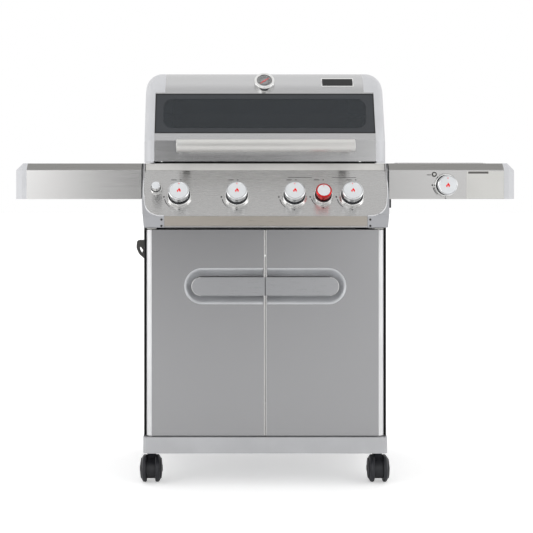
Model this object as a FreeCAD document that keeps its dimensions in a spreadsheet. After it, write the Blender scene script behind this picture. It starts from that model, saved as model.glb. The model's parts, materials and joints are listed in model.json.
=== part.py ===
"""Gas barbecue grill on a two-door cart, with side shelves, a side burner and a windowed lid.

Millimetres. +X runs to the viewer's right, +Y to the back and +Z up. The origin is on the floor, under
the middle of the whole grill. Parts are drawn from the plane of the shelf fronts, and each one's
Placement moves it back by front_plane, so that the origin falls in the middle of the depth.
"""
import FreeCAD, Part
import math
import os
import re

Vector = FreeCAD.Vector

DIMENSIONS = {
    # overall layout
    "front_plane": -211.8,      # Y of the plane that the shelf fronts lie in
    "cart_half": 333.0,         # half width over the cabinet sides
    "sheet": 1.5,               # folded steel sheet
    "casting": 4.0,             # wall of the cast ends
    "back_plane": 490.0,        # depth from the shelf fronts to the cabinet's back
    # base and casters
    "base_half": 334.7,
    "base_low": 92.0,
    "base_top": 136.0,
    "stem_x": 316.0,
    "stem_r": 5.5,
    "fit": 0.05,                # radial clearance of every running fit
    "front_stem_y": 84.0,
    "rear_stem_y": 424.0,
    "trail": 24.0,
    "wheel_r": 37.5,
    "axle_r": 4.0,
    # cabinet
    "side_top": 880.0,
    "panel_low": 712.0,         # bottom of the control panel
    "flange_y": 37.5,
    "flange_in": 300.0,
    "rail_low": 675.0,
    "rail_top": 705.0,
    "rail_depth": 30.0,
    "back_top": 600.0,
    # doors
    "door_low": 138.5,
    "door_top": 703.5,
    "door_out": 326.0,
    "door_seam": 1.0,
    "door_front": 10.0,
    "door_back": 28.0,
    "door_hinge_x": 313.0,
    "door_hinge_y": 23.0,
    "door_pin_r": 3.0,
    "recess_end": 223.0,
    "recess_mid": 548.6,
    "recess_r": 50.0,
    "recess_depth": 15.0,
    "grip_end": 202.0,
    "grip_r": 25.0,
    "grip_front": 3.0,
    "grip_thick": 5.0,
    # control panel
    "panel_half": 331.4,
    "panel_top": 886.0,
    "band_y": 20.0,
    "band_lean": 13.5,          # how far the band's top edge stands behind its foot
    "face_top": 866.0,
    "face_low": 743.0,
    "face_lean": 71.0,
    "knob_axis_z": 794.0,
    "knob_pitch": 156.0,
    "knob_r": 28.5,
    "knob_out": 38.0,
    "broil_r": 21.5,
    "spindle_r": 3.0,
    "button_x": -296.0,
    "button_axis_z": 814.0,
    "button_r": 12.0,
    "inlet_x": 258.0,
    # shelves
    "shelf_in": 335.0,
    "shelf_out": 653.0,
    "cap_out": 685.0,
    "shelf_low": 788.0,
    "shelf_top": 886.0,
    "shelf_depth": 450.0,
    "shelf_bevel": 19.0,
    # side burner
    "well_x": 494.0,
    "well_y": 220.0,
    "well_half_x": 116.0,
    "well_half_y": 128.0,
    "well_low": 836.0,
    "side_knob_x": 493.0,
    "side_knob_z": 826.0,
    "side_knob_r": 27.0,
    "side_hinge_y": 384.0,
    "side_hinge_z": 890.6,
    # firebox
    "box_low": 705.0,
    "box_top": 884.4,
    "burner_z": 772.0,
    "burner_r": 16.0,
    "grate_z": 860.0,
    # lid
    "lid_half": 334.0,
    "lid_low": 891.5,
    "lid_front": 19.0,
    "lid_rear": 489.0,
    "lid_crease": 949.0,
    "lid_top": 1144.7,
    "lid_slope": 21.5,
    "lid_roll": 88.0,
    "skin_half": 305.0,
    "crown_half": 277.6,
    "window_low": 21.5,         # measured up the slope from the crease
    "window_high": 143.5,
    "hinge_y": 476.0,
    "hinge_z": 900.0,
    "hinge_pin_r": 4.0,
    "handle_half": 241.0,
    "handle_r": 17.5,
    "handle_y": -36.0,
    "handle_z": 933.0,
    "handle_post_x": 219.0,
    "gauge_r": 29.5,
    "gauge_tilt": 52.0,
    # grease tray
    "tray_half": 142.0,
    "tray_low": 630.0,
    "tray_rim": 664.0,
}

doc = FreeCAD.newDocument("gas_grill")
sheet = doc.addObject("Spreadsheet::Sheet", "Dims")
for row, (alias, size) in enumerate(DIMENSIONS.items(), start=1):
    sheet.set(f"A{row}", alias)
    sheet.set(f"B{row}", str(size))
    sheet.setAlias(f"B{row}", alias)
doc.recompute()


class SheetReader:
    """Reads a driving dimension from the sheet as a number."""

    def __getattr__(self, alias):
        return float(getattr(sheet, alias))


d = SheetReader()
nodes = []


# ---- helpers -------------------------------------------------------------------------------------

def bind(obj, prop, size):
    """Set a property: a number directly, a text as an expression whose words are cells of the sheet."""
    if isinstance(size, str):
        obj.setExpression(prop, re.sub(r"([a-z]\w*)", r"Dims.\1", size))
    else:
        obj.setExpression(prop, repr(float(size)))


def subpart(obj, label, x=0, y=0, z=0, turn=None):
    """Name a finished sub-part, place it from the shelf-front plane and keep it for export."""
    obj.Label = label
    if turn is not None:
        obj.Placement = FreeCAD.Placement(Vector(), turn)
    bind(obj, "Placement.Base.x", x)
    bind(obj, "Placement.Base.y", f"front_plane + ({y})")
    bind(obj, "Placement.Base.z", z)
    nodes.append(obj)
    return obj


def mirrored(source, label):
    """The same sub-part on the other side of the grill's middle plane."""
    twin = doc.addObject("Part::Mirroring", label)
    twin.Source = source
    twin.Normal = Vector(1, 0, 0)
    twin.Label = label
    nodes.append(twin)
    return twin


def box(name, xs, ys, zs):
    """A block between two corners; each span is a pair of numbers or expressions."""
    block = doc.addObject("Part::Box", name)
    for prop, (low, high) in zip(("Length", "Width", "Height"), (xs, ys, zs)):
        bind(block, prop, f"({high}) - ({low})")
    for axis, (low, _) in zip("xyz", (xs, ys, zs)):
        bind(block, "Placement.Base." + axis, low)
    return block


def rod(name, radius, start, length, along):
    """A round bar from a start point along +X, +Y or +Z."""
    bar = doc.addObject("Part::Cylinder", name)
    turns = {"x": FreeCAD.Rotation(Vector(0, 1, 0), 90), "y": FreeCAD.Rotation(Vector(1, 0, 0), -90),
             "z": FreeCAD.Rotation()}
    bar.Placement = FreeCAD.Placement(Vector(), turns[along])
    bind(bar, "Radius", radius)
    bind(bar, "Height", length)
    for axis, position in zip("xyz", start):
        bind(bar, "Placement.Base." + axis, position)
    return bar


def fuse(name, *pieces):
    joined = doc.addObject("Part::MultiFuse", name)
    joined.Shapes = list(pieces)
    joined.Refine = True
    return joined


def group(name, *pieces):
    """Separate solids that share one sub-part."""
    gathered = doc.addObject("Part::Compound", name)
    gathered.Links = list(pieces)
    return gathered


def cut(name, base, *tools):
    """The base with one or more tools taken away."""
    result = doc.addObject("Part::Cut", name)
    result.Base = base
    result.Tool = tools[0] if len(tools) == 1 else fuse(name + "_tools", *tools)
    result.Refine = True
    return result


def common(name, *pieces):
    """What all the pieces share."""
    shared = doc.addObject("Part::MultiCommon", name)
    shared.Shapes = list(pieces)
    return shared


def outline(points):
    """Lines and tangent arcs of a closed outline; a point is (x, y) or (x, y, corner radius)."""
    corners = [Vector(p[0], p[1], 0) for p in points]
    radii = [p[2] if len(p) > 2 else 0 for p in points]
    stops = []
    arcs = []
    count = len(points)
    for index in range(count):
        corner = corners[index]
        if not radii[index]:
            stops.append((corner, corner))
            continue
        back = (corners[index - 1] - corner).normalize()
        ahead = (corners[(index + 1) % count] - corner).normalize()
        half = back.getAngle(ahead) / 2
        reach = radii[index] / math.tan(half)
        centre = corner + (back + ahead).normalize() * (radii[index] / math.sin(half))
        middle = centre + (corner - centre).normalize() * radii[index]
        first = corner + back * reach
        last = corner + ahead * reach
        arcs.append(Part.Arc(first, middle, last))
        stops.append((first, last))
    for index in range(count):
        start = stops[index][1]
        end = stops[(index + 1) % count][0]
        if start.distanceToPoint(end) > 1e-6:
            arcs.append(Part.LineSegment(start, end))
    return arcs


def strip(path, thick):
    """Closed outline of a folded sheet: the path, and the same path moved to its right by thick."""
    flat = [Vector(p[0], p[1], 0) for p in path]
    radii = [p[2] if len(p) > 2 else 0 for p in path]
    inner = []
    for index, point in enumerate(flat):
        into = (point - flat[index - 1]).normalize() if index else None
        away = (flat[index + 1] - point).normalize() if index + 1 < len(flat) else None
        into = into or away
        away = away or into
        side = Vector(into.y + away.y, -into.x - away.x, 0).normalize()
        moved = point + side * (thick / side.dot(Vector(into.y, -into.x, 0)))
        bends_right = into.cross(away).z < 0
        radius = radii[index]
        if radius:
            radius = radius - thick if bends_right else radius + thick
        inner.append((moved.x, moved.y, radius))
    return list(path) + inner[::-1]


def sketch_on(body, name, role, loops, offset=0):
    """A sketch on an origin plane of its own body, with one closed outline for each list of corners."""
    drawing = body.newObject("Sketcher::SketchObject", name)
    plane = next(item for item in body.Origin.OriginFeatures if item.Role == role)
    drawing.AttachmentSupport = (plane, "")
    drawing.MapMode = "FlatFace"
    bind(drawing, "AttachmentOffset.Base.z", offset)
    for loop in loops:
        drawing.addGeometry(outline(loop), False)
    return drawing


def new_body(name):
    body = doc.addObject("PartDesign::Body", name)
    body.AllowCompound = True
    return body


def padded(name, plane, loops, low, high):
    """A body with one pad from low to high along +Z (plane XY), +Y (XZ) or +X (YZ)."""
    body = new_body(name)
    toward_back = plane == "XZ"
    start = f"-({low})" if toward_back else low
    drawing = sketch_on(body, name + "_sketch", plane + "_Plane", loops, start)
    pad = body.newObject("PartDesign::Pad", name + "_pad")
    pad.Profile = drawing
    pad.Reversed = toward_back
    bind(pad, "Length", f"({high}) - ({low})")
    return body


def turned(name, points):
    """A body turned about its own Z axis from (radius, height) corners."""
    body = new_body(name)
    drawing = sketch_on(body, name + "_sketch", "XZ_Plane", [points])
    revolution = body.newObject("PartDesign::Revolution", name + "_turn")
    revolution.Profile = drawing
    revolution.ReferenceAxis = (drawing, ["V_Axis"])
    revolution.Angle = 360
    return body


def rectangle(low_x, high_x, low_y, high_y, radius=0):
    return [(low_x, low_y, radius), (high_x, low_y, radius), (high_x, high_y, radius),
            (low_x, high_y, radius)]


# ---- base and casters ----------------------------------------------------------------------------

def make_base_tray():
    """Floor of the cart: a downward tray with a block over each caster's stem."""
    shell = padded("base_shell", "XY", [rectangle(-d.base_half, d.base_half, 0, d.back_plane, 12)],
                   "base_low", "base_top")
    wall = 3
    hollow = padded("base_hollow", "XY",
                    [rectangle(-d.base_half + wall, d.base_half - wall, wall, d.back_plane - wall, 9)],
                    "base_low - 1", f"base_top - {wall}")
    blocks = []
    bores = []
    for side in (-1, 1):
        for end, stem_y in (("front", "front_stem_y"), ("rear", "rear_stem_y")):
            x = f"{side} * stem_x"
            tag = f"{end}_{'left' if side < 0 else 'right'}"
            blocks.append(box("base_block_" + tag, (f"{x} - 17", f"{x} + 17"),
                              (f"{stem_y} - 24", f"{stem_y} + 24"), ("base_low", "base_top - 1")))
            bores.append(rod("base_bore_" + tag, "stem_r + fit", (x, stem_y, "base_low - 1"), 35, "z"))
    bores.append(rod("base_hose_hole", 28, ("inlet_x", 100, "base_top - 10"), 20, "z"))
    tray = cut("base_tray_shell", shell, hollow)
    subpart(cut("base_tray_body", fuse("base_tray_blocks", tray, *blocks), *bores), "base_tray")


def make_caster(place, side, stem_y, trail_sign):
    """Twin-wheel caster: a centre housing that swivels on its stem, and a pair of wheels on its axle."""
    tag = f"caster_{place}"
    trail = f"({trail_sign} * trail)"
    neck_low = 55
    hub = rod(tag + "_hub", 28, (-12, trail, "wheel_r"), 24, "x")
    neck = padded(tag + "_neck", "YZ",
                  [[(trail_sign * d.trail + 20, d.wheel_r + 14), (trail_sign * d.trail - 20, d.wheel_r + 14),
                    (-16, 78, 4), (-16, 90.5), (16, 90.5), (16, 78, 4)]], -12, 12)
    collar = rod(tag + "_collar", 14, (0, 0, 80), 11.6, "z")
    stem = rod(tag + "_stem", "stem_r", (0, 0, neck_low + 30), 38, "z")
    axle = rod(tag + "_axle", "axle_r", (-28, trail, "wheel_r"), 56, "x")
    housing = fuse(tag + "_body", hub, neck, collar, stem, axle)
    x = f"{side} * stem_x"
    subpart(housing, tag + "_housing", x, stem_y, 0)
    bore = d.axle_r + d.fit
    profile = [(bore, 12.5), (d.wheel_r - 2, 12.5), (d.wheel_r, 14.5), (d.wheel_r, 21, 3),
               (d.wheel_r - 4, 24, 4), (24, 29, 20), (8, 31.2), (0, 31.2), (0, 28.3), (bore, 28.3)]
    wheels = []
    for wheel_side in (-1, 1):
        wheel = turned(f"{tag}_wheel_{'outer' if wheel_side * side > 0 else 'inner'}", profile)
        wheel.Placement = FreeCAD.Placement(Vector(), FreeCAD.Rotation(Vector(0, 1, 0), 90 * wheel_side))
        bind(wheel, "Placement.Base.y", trail)
        bind(wheel, "Placement.Base.z", "wheel_r")
        wheels.append(wheel)
    subpart(group(tag + "_wheel_pair", *wheels), tag + "_wheels", x, stem_y, 0)


# ---- cabinet -------------------------------------------------------------------------------------

def make_cabinet():
    half = d.cart_half
    web = padded("side_web", "YZ", [[(20, d.base_top), (d.back_plane, d.base_top), (d.back_plane, d.side_top),
                                     (42, d.side_top), (42, d.panel_low - 2), (20, d.panel_low - 2)]],
                 "cart_half - sheet", "cart_half")
    front_flange = box("side_front_flange", ("flange_in", "cart_half - sheet"),
                       ("flange_y", "flange_y + sheet"), ("base_top", "rail_top - 1"))
    rear_flange = box("side_rear_flange", ("flange_in", "cart_half - sheet"),
                      ("back_plane - sheet", "back_plane"), ("base_top", "side_top"))
    doubler = box("side_doubler", ("cart_half", "shelf_in"), (60, 440), ("shelf_low + 12", "side_top - 4"))
    right = subpart(fuse("cabinet_side_body", web, front_flange, rear_flange, doubler),
                    "cabinet_side_right")
    mirrored(right, "cabinet_side_left")

    inner = half - d.sheet - 0.1
    slots = []
    for row in range(5):
        for side in (-1, 1):
            z = 470 + 20 * row
            slots.append(rectangle(side * 150 - 90, side * 150 + 90, z, z + 8, 3.9))
    subpart(padded("cabinet_back_body", "XZ", [rectangle(-inner, inner, d.base_top, d.back_top), *slots],
                   "back_plane - 2 * sheet", "back_plane - sheet"), "cabinet_back")

    rail_front = d.flange_y + d.sheet
    rail = box("rail_outer", (-inner, inner), (rail_front, f"{rail_front} + rail_depth"),
               ("rail_low", "rail_top"))
    bore = box("rail_inner", (-inner - 1, inner + 1), (rail_front + 2, f"{rail_front} + rail_depth - 2"),
               ("rail_low + 2", "rail_top - 2"))
    magnets = [box(f"magnet_{'left' if side < 0 else 'right'}", (side * 30 - 16, side * 30 + 16),
                   ("door_back + 0.4", rail_front), ("rail_low + 6", "rail_low + 20")) for side in (-1, 1)]
    subpart(group("front_rail_set", cut("rail_tube", rail, bore), *magnets), "front_rail")


def make_door_hinges():
    """Fixed pins: the lower ones stand on the base, the upper ones hang from plates on the rail."""
    pieces = []
    for side in (-1, 1):
        tag = "left" if side < 0 else "right"
        x = f"{side} * door_hinge_x"
        foot = rod("foot_washer_" + tag, 6, (x, "door_hinge_y", "base_top"), 2, "z")
        low_pin = rod("low_pin_" + tag, "door_pin_r", (x, "door_hinge_y", "base_top"), 22, "z")
        plate = box("hinge_plate_" + tag, (f"{x} - 12", f"{x} + 12"), ("door_hinge_y - 8", 62),
                    ("rail_top", "rail_top + 3"))
        high_pin = rod("high_pin_" + tag, "door_pin_r", (x, "door_hinge_y", "door_top - 20"),
                       "rail_top - door_top + 21", "z")
        pieces.append(fuse("low_hinge_" + tag, foot, low_pin))
        pieces.append(fuse("high_hinge_" + tag, plate, high_pin))
    subpart(group("door_hinge_set", *pieces), "door_hinge_pins")


# ---- doors ---------------------------------------------------------------------------------------

def capsule_half(end, radius, middle, inner, grow=0):
    """Outline with a half-round outer end and a square end at the door seam."""
    full = radius + grow
    return [(inner - grow, middle - full), (end + grow, middle - full, full - 0.01),
            (end + grow, middle + full, full - 0.01), (inner - grow, middle + full)]


def make_door():
    """Right door: a folded pan with a recessed hand well, and its grip; the left one is its mirror."""
    front, back = d.door_front, d.door_back
    corner = d.door_out - d.door_hinge_x
    slab = padded("door_slab", "XY", [[(d.door_seam, front, 2), (d.door_out, front, corner),
                                       (d.door_out, back, 4), (d.door_seam, back)]], "door_low", "door_top")
    skin = d.sheet
    well = capsule_half(d.recess_end, d.recess_r, d.recess_mid, 5.5)
    well_wall = capsule_half(d.recess_end, d.recess_r, d.recess_mid, 5.5, skin)
    hollow = padded("door_hollow", "XZ", [rectangle(d.door_seam + skin, d.door_out - corner - 10,
                                                    d.door_low + skin, d.door_top - skin), well_wall],
                    "door_front + sheet", "door_back + 1")
    recess = padded("door_recess", "XZ", [well], "door_front - 1", "door_front + recess_depth")
    bores = [rod(f"door_bore_{end}", "door_pin_r + fit", ("door_hinge_x", "door_hinge_y", low), 24, "z")
             for end, low in (("low", "door_low - 1"), ("high", "door_top - 23"))]
    right = subpart(cut("door_body", slab, hollow, recess, *bores), "door_right")
    mirrored(right, "door_left")

    plate = padded("grip_plate", "XZ", [capsule_half(d.grip_end, d.grip_r, d.recess_mid, 1.0)],
                   "grip_front", "grip_front + grip_thick")
    posts = [rod(f"grip_post_{index}", 6, (x, "grip_front + 2", "recess_mid"),
                 "door_front + recess_depth - grip_front - 2", "y") for index, x in enumerate((36, 168))]
    grip = subpart(fuse("grip_body", plate, *posts), "door_handle_right")
    mirrored(grip, "door_handle_left")


# ---- control panel -------------------------------------------------------------------------------

LEAN = math.degrees(math.atan2(d.face_lean, d.face_top - d.face_low))
FACE_TURN = FreeCAD.Rotation(Vector(1, 0, 0), 90 - LEAN)
FACE_LOW_Y = d.band_y - d.face_lean


def face_point(z):
    """Depth of the sloping face at a height."""
    return d.band_y - d.face_lean * (d.face_top - z) / (d.face_top - d.face_low)


def on_face(obj, x, z):
    """Stand a piece on the sloping face, its own Z axis along the face's normal."""
    obj.Placement = FreeCAD.Placement(Vector(x, face_point(z), z), FACE_TURN)
    return obj


KNOBS = [("1", -1.5 * d.knob_pitch), ("2", -0.5 * d.knob_pitch), ("3", 0.5 * d.knob_pitch),
         ("broil", d.knob_pitch), ("4", 1.5 * d.knob_pitch)]


def tilted_rod(name, radius, x, z, low, high):
    """A round bar along the knob direction, from low to high above the sloping face."""
    bar = doc.addObject("Part::Cylinder", name)
    bind(bar, "Radius", radius)
    bar.Height = high - low
    normal = FACE_TURN.multVec(Vector(0, 0, 1))
    bar.Placement = FreeCAD.Placement(Vector(x, face_point(z), z) + normal * low, FACE_TURN)
    return bar


WALL_IN = d.panel_half + 0.1
WALL_LOW = d.panel_low - 1
TAPER_Z = 784
TAPER = 7


def make_control_panel():
    band_top = d.band_y + d.band_lean
    path = [(62, d.panel_top), (band_top, d.panel_top, 3), (d.band_y, d.face_top, 3),
            (FACE_LOW_Y, d.face_low, 4), (FACE_LOW_Y, d.panel_low, 3), (-22, d.panel_low)]
    folded = padded("panel_sheet", "YZ", [strip(path, -d.sheet)], "-panel_half", "panel_half")
    holes = [tilted_rod(f"panel_hole_{tag}", 5, x, d.knob_axis_z, -6, 6) for tag, x in KNOBS]
    holes.append(tilted_rod("panel_hole_button", 5.5, d.button_x, d.button_axis_z, -6, 6))
    play = 0.1
    trims = []
    for side in (-1, 1):
        corner = [(side * (WALL_IN - play), TAPER_Z), (side * (WALL_IN - play - TAPER), WALL_LOW),
                  (side * 350, WALL_LOW), (side * 350, TAPER_Z)]
        trims.append(padded(f"panel_trim_{'left' if side < 0 else 'right'}", "XZ", [corner], -70, 70))
    subpart(cut("control_panel_body", folded, *holes, *trims), "control_panel")

    proud = 3
    wall = padded("end_wall", "YZ", [[(40, d.panel_top), (band_top - proud, d.panel_top, 3),
                                      (d.band_y - proud, d.face_top + 1, 3),
                                      (FACE_LOW_Y - proud, d.face_low + 1, 4),
                                      (FACE_LOW_Y - proud, d.panel_low, 3), (40, d.panel_low)]],
                  "panel_half - 12", "shelf_in")
    section = padded("end_section", "XZ", [[(WALL_IN, d.panel_top + 1), (d.shelf_in, d.panel_top + 1),
                                            (d.shelf_in, TAPER_Z), (d.shelf_in - TAPER, WALL_LOW),
                                            (WALL_IN - TAPER, WALL_LOW), (WALL_IN, TAPER_Z)]], -70, 70)
    tapered = common("end_tapered", wall, section)
    edge = d.panel_half + 1
    frame = padded("end_frame", "XY", [[(272, -2), (edge, -2), (edge, 141), (WALL_IN - 0.3, 141),
                                        (WALL_IN - 0.5, 80), (320.5, 1.5, 41), (272, 1.5)]], 0, proud)
    on_face(frame, 0, d.face_low)
    foot = box("end_foot", (273.5, edge), (FACE_LOW_Y - proud, FACE_LOW_Y), ("panel_low", "face_low + 3"))
    outside = padded("end_outside", "XZ", [[(d.shelf_in, TAPER_Z), (d.shelf_in - TAPER, WALL_LOW),
                                            (350, WALL_LOW), (350, TAPER_Z)]], -70, 70)
    recesses = [rod(f"end_screw_{level}", 3.2, (280.5, FACE_LOW_Y - proud - 1, z), 2.6, "y")
                for level, z in (("low", 716.5), ("high", 733.5))]
    solid = fuse("panel_end_solid", tapered, frame, foot)
    right = subpart(cut("panel_end_body", solid, outside, *recesses), "control_panel_end_right")
    mirrored(right, "control_panel_end_left")


def bezel(name, inner, outer, high):
    return turned(name, [(inner, 0), (outer, 0), (outer, 1.5, 1), (outer - 0.25 * high, high, 1.2), (inner, high)])


def make_bezels():
    rings = [on_face(bezel(f"bezel_{tag}", d.knob_r + 1, d.knob_r + 6, 12), x, d.knob_axis_z)
             for tag, x in KNOBS if tag != "broil"]
    rings.append(on_face(bezel("bezel_broil", d.broil_r + 1, d.broil_r + 6.5, 12), d.knob_pitch, d.knob_axis_z))
    rings.append(on_face(bezel("bezel_button", d.button_r + 0.8, d.button_r + 4.5, 10), d.button_x,
                         d.button_axis_z))
    side = bezel("bezel_side", d.side_knob_r + 1, d.side_knob_r + 5.5, 10)
    side.Placement = FreeCAD.Placement(Vector(d.side_knob_x, 0, d.side_knob_z),
                                       FreeCAD.Rotation(Vector(1, 0, 0), 90))
    subpart(group("knob_bezel_set", *rings, side), "knob_bezels")


def knob_profile(radius, out):
    """Knob with a flared skirt, straight grip and dished face, bored for its spindle."""
    bore = d.spindle_r + d.fit
    return [(bore, 4), (radius - 1, 4), (radius - 1.6, 12, 6), (radius, out - 4), (radius, out - 2, 1.5),
            (radius - 2.5, out, 1.5), (radius - 4.5, out - 0.8), (0, out - 0.8), (0, 24), (bore, 24)]


def make_knob(tag, radius, out, x, y, z, turn):
    knob = turned(f"knob_{tag}_body", knob_profile(radius, out))
    subpart(knob, f"knob_{tag}", x, y, z, turn)
    spindle = turned(f"spindle_{tag}_body", [(0, -38), (d.spindle_r, -38), (d.spindle_r, 22.5), (0, 22.5)])
    subpart(spindle, f"valve_spindle_{tag}", x, y, z, turn)


def make_button():
    cap = turned("button_body", [(0, -20), (4, -20), (4, 4), (d.button_r, 4), (d.button_r, 24, 2),
                                 (d.button_r - 2.5, 25, 1), (0, 25)])
    subpart(cap, "igniter_button", d.button_x, face_point(d.button_axis_z), d.button_axis_z, FACE_TURN)


# ---- gas train, firebox and grates ---------------------------------------------------------------

def make_manifold():
    """Feed pipe with a valve behind each knob, and a gas inlet that points down into the cabinet."""
    pipe_y, pipe_z, run_x, drop_y, pipe_r = 28, 748, 314, 100, 7.94
    return_z, inlet_low = 672, 626
    solids = [rod("feed_pipe", pipe_r, (-250, pipe_y, pipe_z), run_x + 250 + pipe_r, "x"),
              rod("feed_run", pipe_r, (run_x, pipe_y, pipe_z), drop_y - pipe_y + pipe_r, "y"),
              rod("feed_drop", pipe_r, (run_x, drop_y, return_z - pipe_r), pipe_z - return_z + 2 * pipe_r, "z"),
              rod("feed_return", pipe_r, ("inlet_x", drop_y, return_z), f"{run_x + pipe_r} - inlet_x", "x"),
              rod("inlet_neck", 6.5, ("inlet_x", drop_y, inlet_low + 34), return_z - inlet_low - 34, "z"),
              rod("inlet_thread", pipe_r, ("inlet_x", drop_y, inlet_low), 33, "z"),
              rod("inlet_collar", 11, ("inlet_x", drop_y, inlet_low + 32), 4, "z")]
    bores = [rod("feed_bore", 4, ("inlet_x", drop_y, inlet_low - 1), 40, "z")]
    for tag, x in KNOBS:
        solids.append(tilted_rod(f"valve_{tag}", 13, x, d.knob_axis_z, -64, -12))
        jet_x = 10 if tag == "broil" else 0
        solids.append(rod(f"jet_{tag}", 5, (x - jet_x, 12, "burner_z"), 38, "y"))
        bores.append(tilted_rod(f"valve_bore_{tag}", "spindle_r + fit", x, d.knob_axis_z, -42, -11))
    subpart(cut("manifold_body", fuse("manifold_solid", *solids), *bores), "gas_manifold")


def lofted(name, low_rect, low_z, high_rect, high_z):
    body = new_body(name)
    low = sketch_on(body, name + "_low", "XY_Plane", [rectangle(*low_rect)], low_z)
    high = sketch_on(body, name + "_high", "XY_Plane", [rectangle(*high_rect)], high_z)
    loft = body.newObject("PartDesign::AdditiveLoft", name + "_loft")
    loft.Profile = low
    loft.Sections = [high]
    loft.Ruled = True
    return body


def make_firebox():
    """Cast bowl hung on the cabinet sides, with grate ledges, hinge ears and the grease tray's rails."""
    wall = d.casting
    low = (-290, 290, 70, 440)
    high = (-312, 312, 45, 465)
    outer = lofted("bowl_outer", low, "box_low", high, "box_top")
    inner_low = (low[0] + wall, low[1] - wall, low[2] + wall, low[3] - wall)
    inner_high = (high[0] + wall, high[1] - wall, high[2] + wall, high[3] - wall)
    inner = lofted("bowl_inner", inner_low, "box_low + casting", inner_high, "box_top + 0.01")
    bowl = cut("bowl", outer, inner)
    floor_z = d.box_low + wall
    spare = 0.05
    before = [(0, floor_z), (inner_low[2] + spare, floor_z), (inner_high[2] + spare, d.box_top), (0, d.box_top)]
    behind = [(520, floor_z), (520, d.box_top), (inner_high[3] - spare, d.box_top),
              (inner_low[3] - spare, floor_z)]
    front_tool = padded("front_tool", "YZ", [before], -400, 400)
    rear_tool = padded("rear_tool", "YZ", [behind], -400, 400)
    ledges = [box(f"grate_ledge_{tag}", (-304, 304), ys, ("grate_z - 5", "grate_z"))
              for tag, ys in (("front", (49, 62)), ("rear", (448, 461)))]
    front_wall = fuse("bowl_front", common("bowl_front_wall", bowl, front_tool), ledges[0])
    rear_wall = fuse("bowl_rear", common("bowl_rear_wall", bowl, rear_tool), ledges[1])
    sides = []
    rails = []
    for side in (-1, 1):
        tag = "left" if side < 0 else "right"
        half = box(f"side_half_{tag}", sorted((side * 200, side * 400)), (0, 520),
                   ("box_low + casting", "box_top"))
        wall_piece = cut(f"bowl_side_{tag}", common(f"bowl_end_{tag}", bowl, half), front_tool, rear_tool)
        flange = box(f"hang_flange_{tag}", sorted((side * 311, side * 333)), (45, 465),
                     ("side_top", "box_top"))
        web = box(f"tray_web_{tag}", sorted((side * 151, side * 153)), (90, 440), ("tray_rim - 2", "box_low"))
        lip = box(f"tray_lip_{tag}", sorted((side * 143.5, side * 152)), (90, 440),
                  ("tray_rim - 2", "tray_rim - 0.4"))
        rails.append(fuse(f"tray_rail_{tag}", web, lip))
        reach = 8
        back, front = d.hinge_y + reach, d.hinge_y - reach
        ear = [(440, d.box_top - 2), (466, d.box_top - 2), (back, d.hinge_z - 10, reach - 1),
               (back, d.hinge_z + reach, reach - 0.1), (front, d.hinge_z + reach, reach - 0.1)]
        plate = padded(f"lid_ear_{tag}", "YZ", [ear], *sorted((side * 318, side * 324)))
        pin = rod(f"lid_pin_{tag}", "hinge_pin_r", (min(side * 319, side * 334), "hinge_y", "hinge_z"), 15, "x")
        hanger = cut(f"hanger_{tag}", fuse(f"hanger_solid_{tag}", flange, plate, pin), front_wall, rear_wall)
        sides.append(fuse(f"box_side_{tag}", wall_piece, hanger))
    ports = [rod(f"burner_port_{tag}", "burner_r + 0.5", (x, 40, "burner_z"), 60, "y")
             for tag, x in KNOBS if tag != "broil"]
    ports.append(rod("burner_port_broil", 8.5, (d.knob_pitch - 10, 40, "burner_z"), 60, "y"))
    drain = box("drain", (-40, 40), (200, 280), ("box_low - 1", "box_low + casting + 1"))
    floor = common("bowl_floor", bowl, box("floor_tool", (-400, 400), (0, 520), ("box_low - 1", floor_z)))
    walls = [cut("box_floor", floor, drain), cut("box_front", front_wall, *ports), rear_wall, *sides]
    subpart(group("firebox_set", *walls, *rails), "firebox")


def make_burners():
    tubes = []
    for tag, x in KNOBS:
        if tag == "broil":
            continue
        tube = rod(f"burner_tube_{tag}", "burner_r", (x, 48, "burner_z"), 386, "y")
        inside = rod(f"burner_inside_{tag}", "burner_r - sheet", (x, 47, "burner_z"), 385, "y")
        tubes.append(cut(f"burner_{tag}", tube, inside))
    middle = d.knob_pitch
    panel = box("broil_panel", (middle - 28, middle + 28), (84, 430), ("burner_z - 2", "burner_z + 30"))
    feed = rod("broil_feed", 8, (middle - 10, 48, "burner_z"), 47, "y")
    feed_bore = rod("broil_feed_bore", 6.5, (middle - 10, 47, "burner_z"), 36, "y")
    tubes.append(cut("broil_burner", fuse("broil_solid", panel, feed), feed_bore))
    subpart(group("burner_set", *tubes), "burners")

    roofs = []
    for tag, x in KNOBS:
        if tag != "broil":
            roofs.append(strip([(x - 38, 804), (x, 830, 4), (x + 38, 804)], d.sheet))
    subpart(padded("flame_tamer_body", "XZ", roofs, 78, 440), "flame_tamers")


def slotted(low_x, high_x, low_y, high_y, rim, bar, gap):
    """Outline of a grate: its frame, and a slot between each pair of bars that run front to back."""
    loops = [rectangle(low_x, high_x, low_y, high_y, 3)]
    count = int((high_x - low_x - 2 * rim + bar) // (bar + gap))
    start = (low_x + high_x - count * (bar + gap) + bar) / 2
    for index in range(count):
        x = start + index * (bar + gap)
        loops.append(rectangle(x, x + gap, low_y + rim, high_y - rim, gap * 0.3))
    return loops


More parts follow.
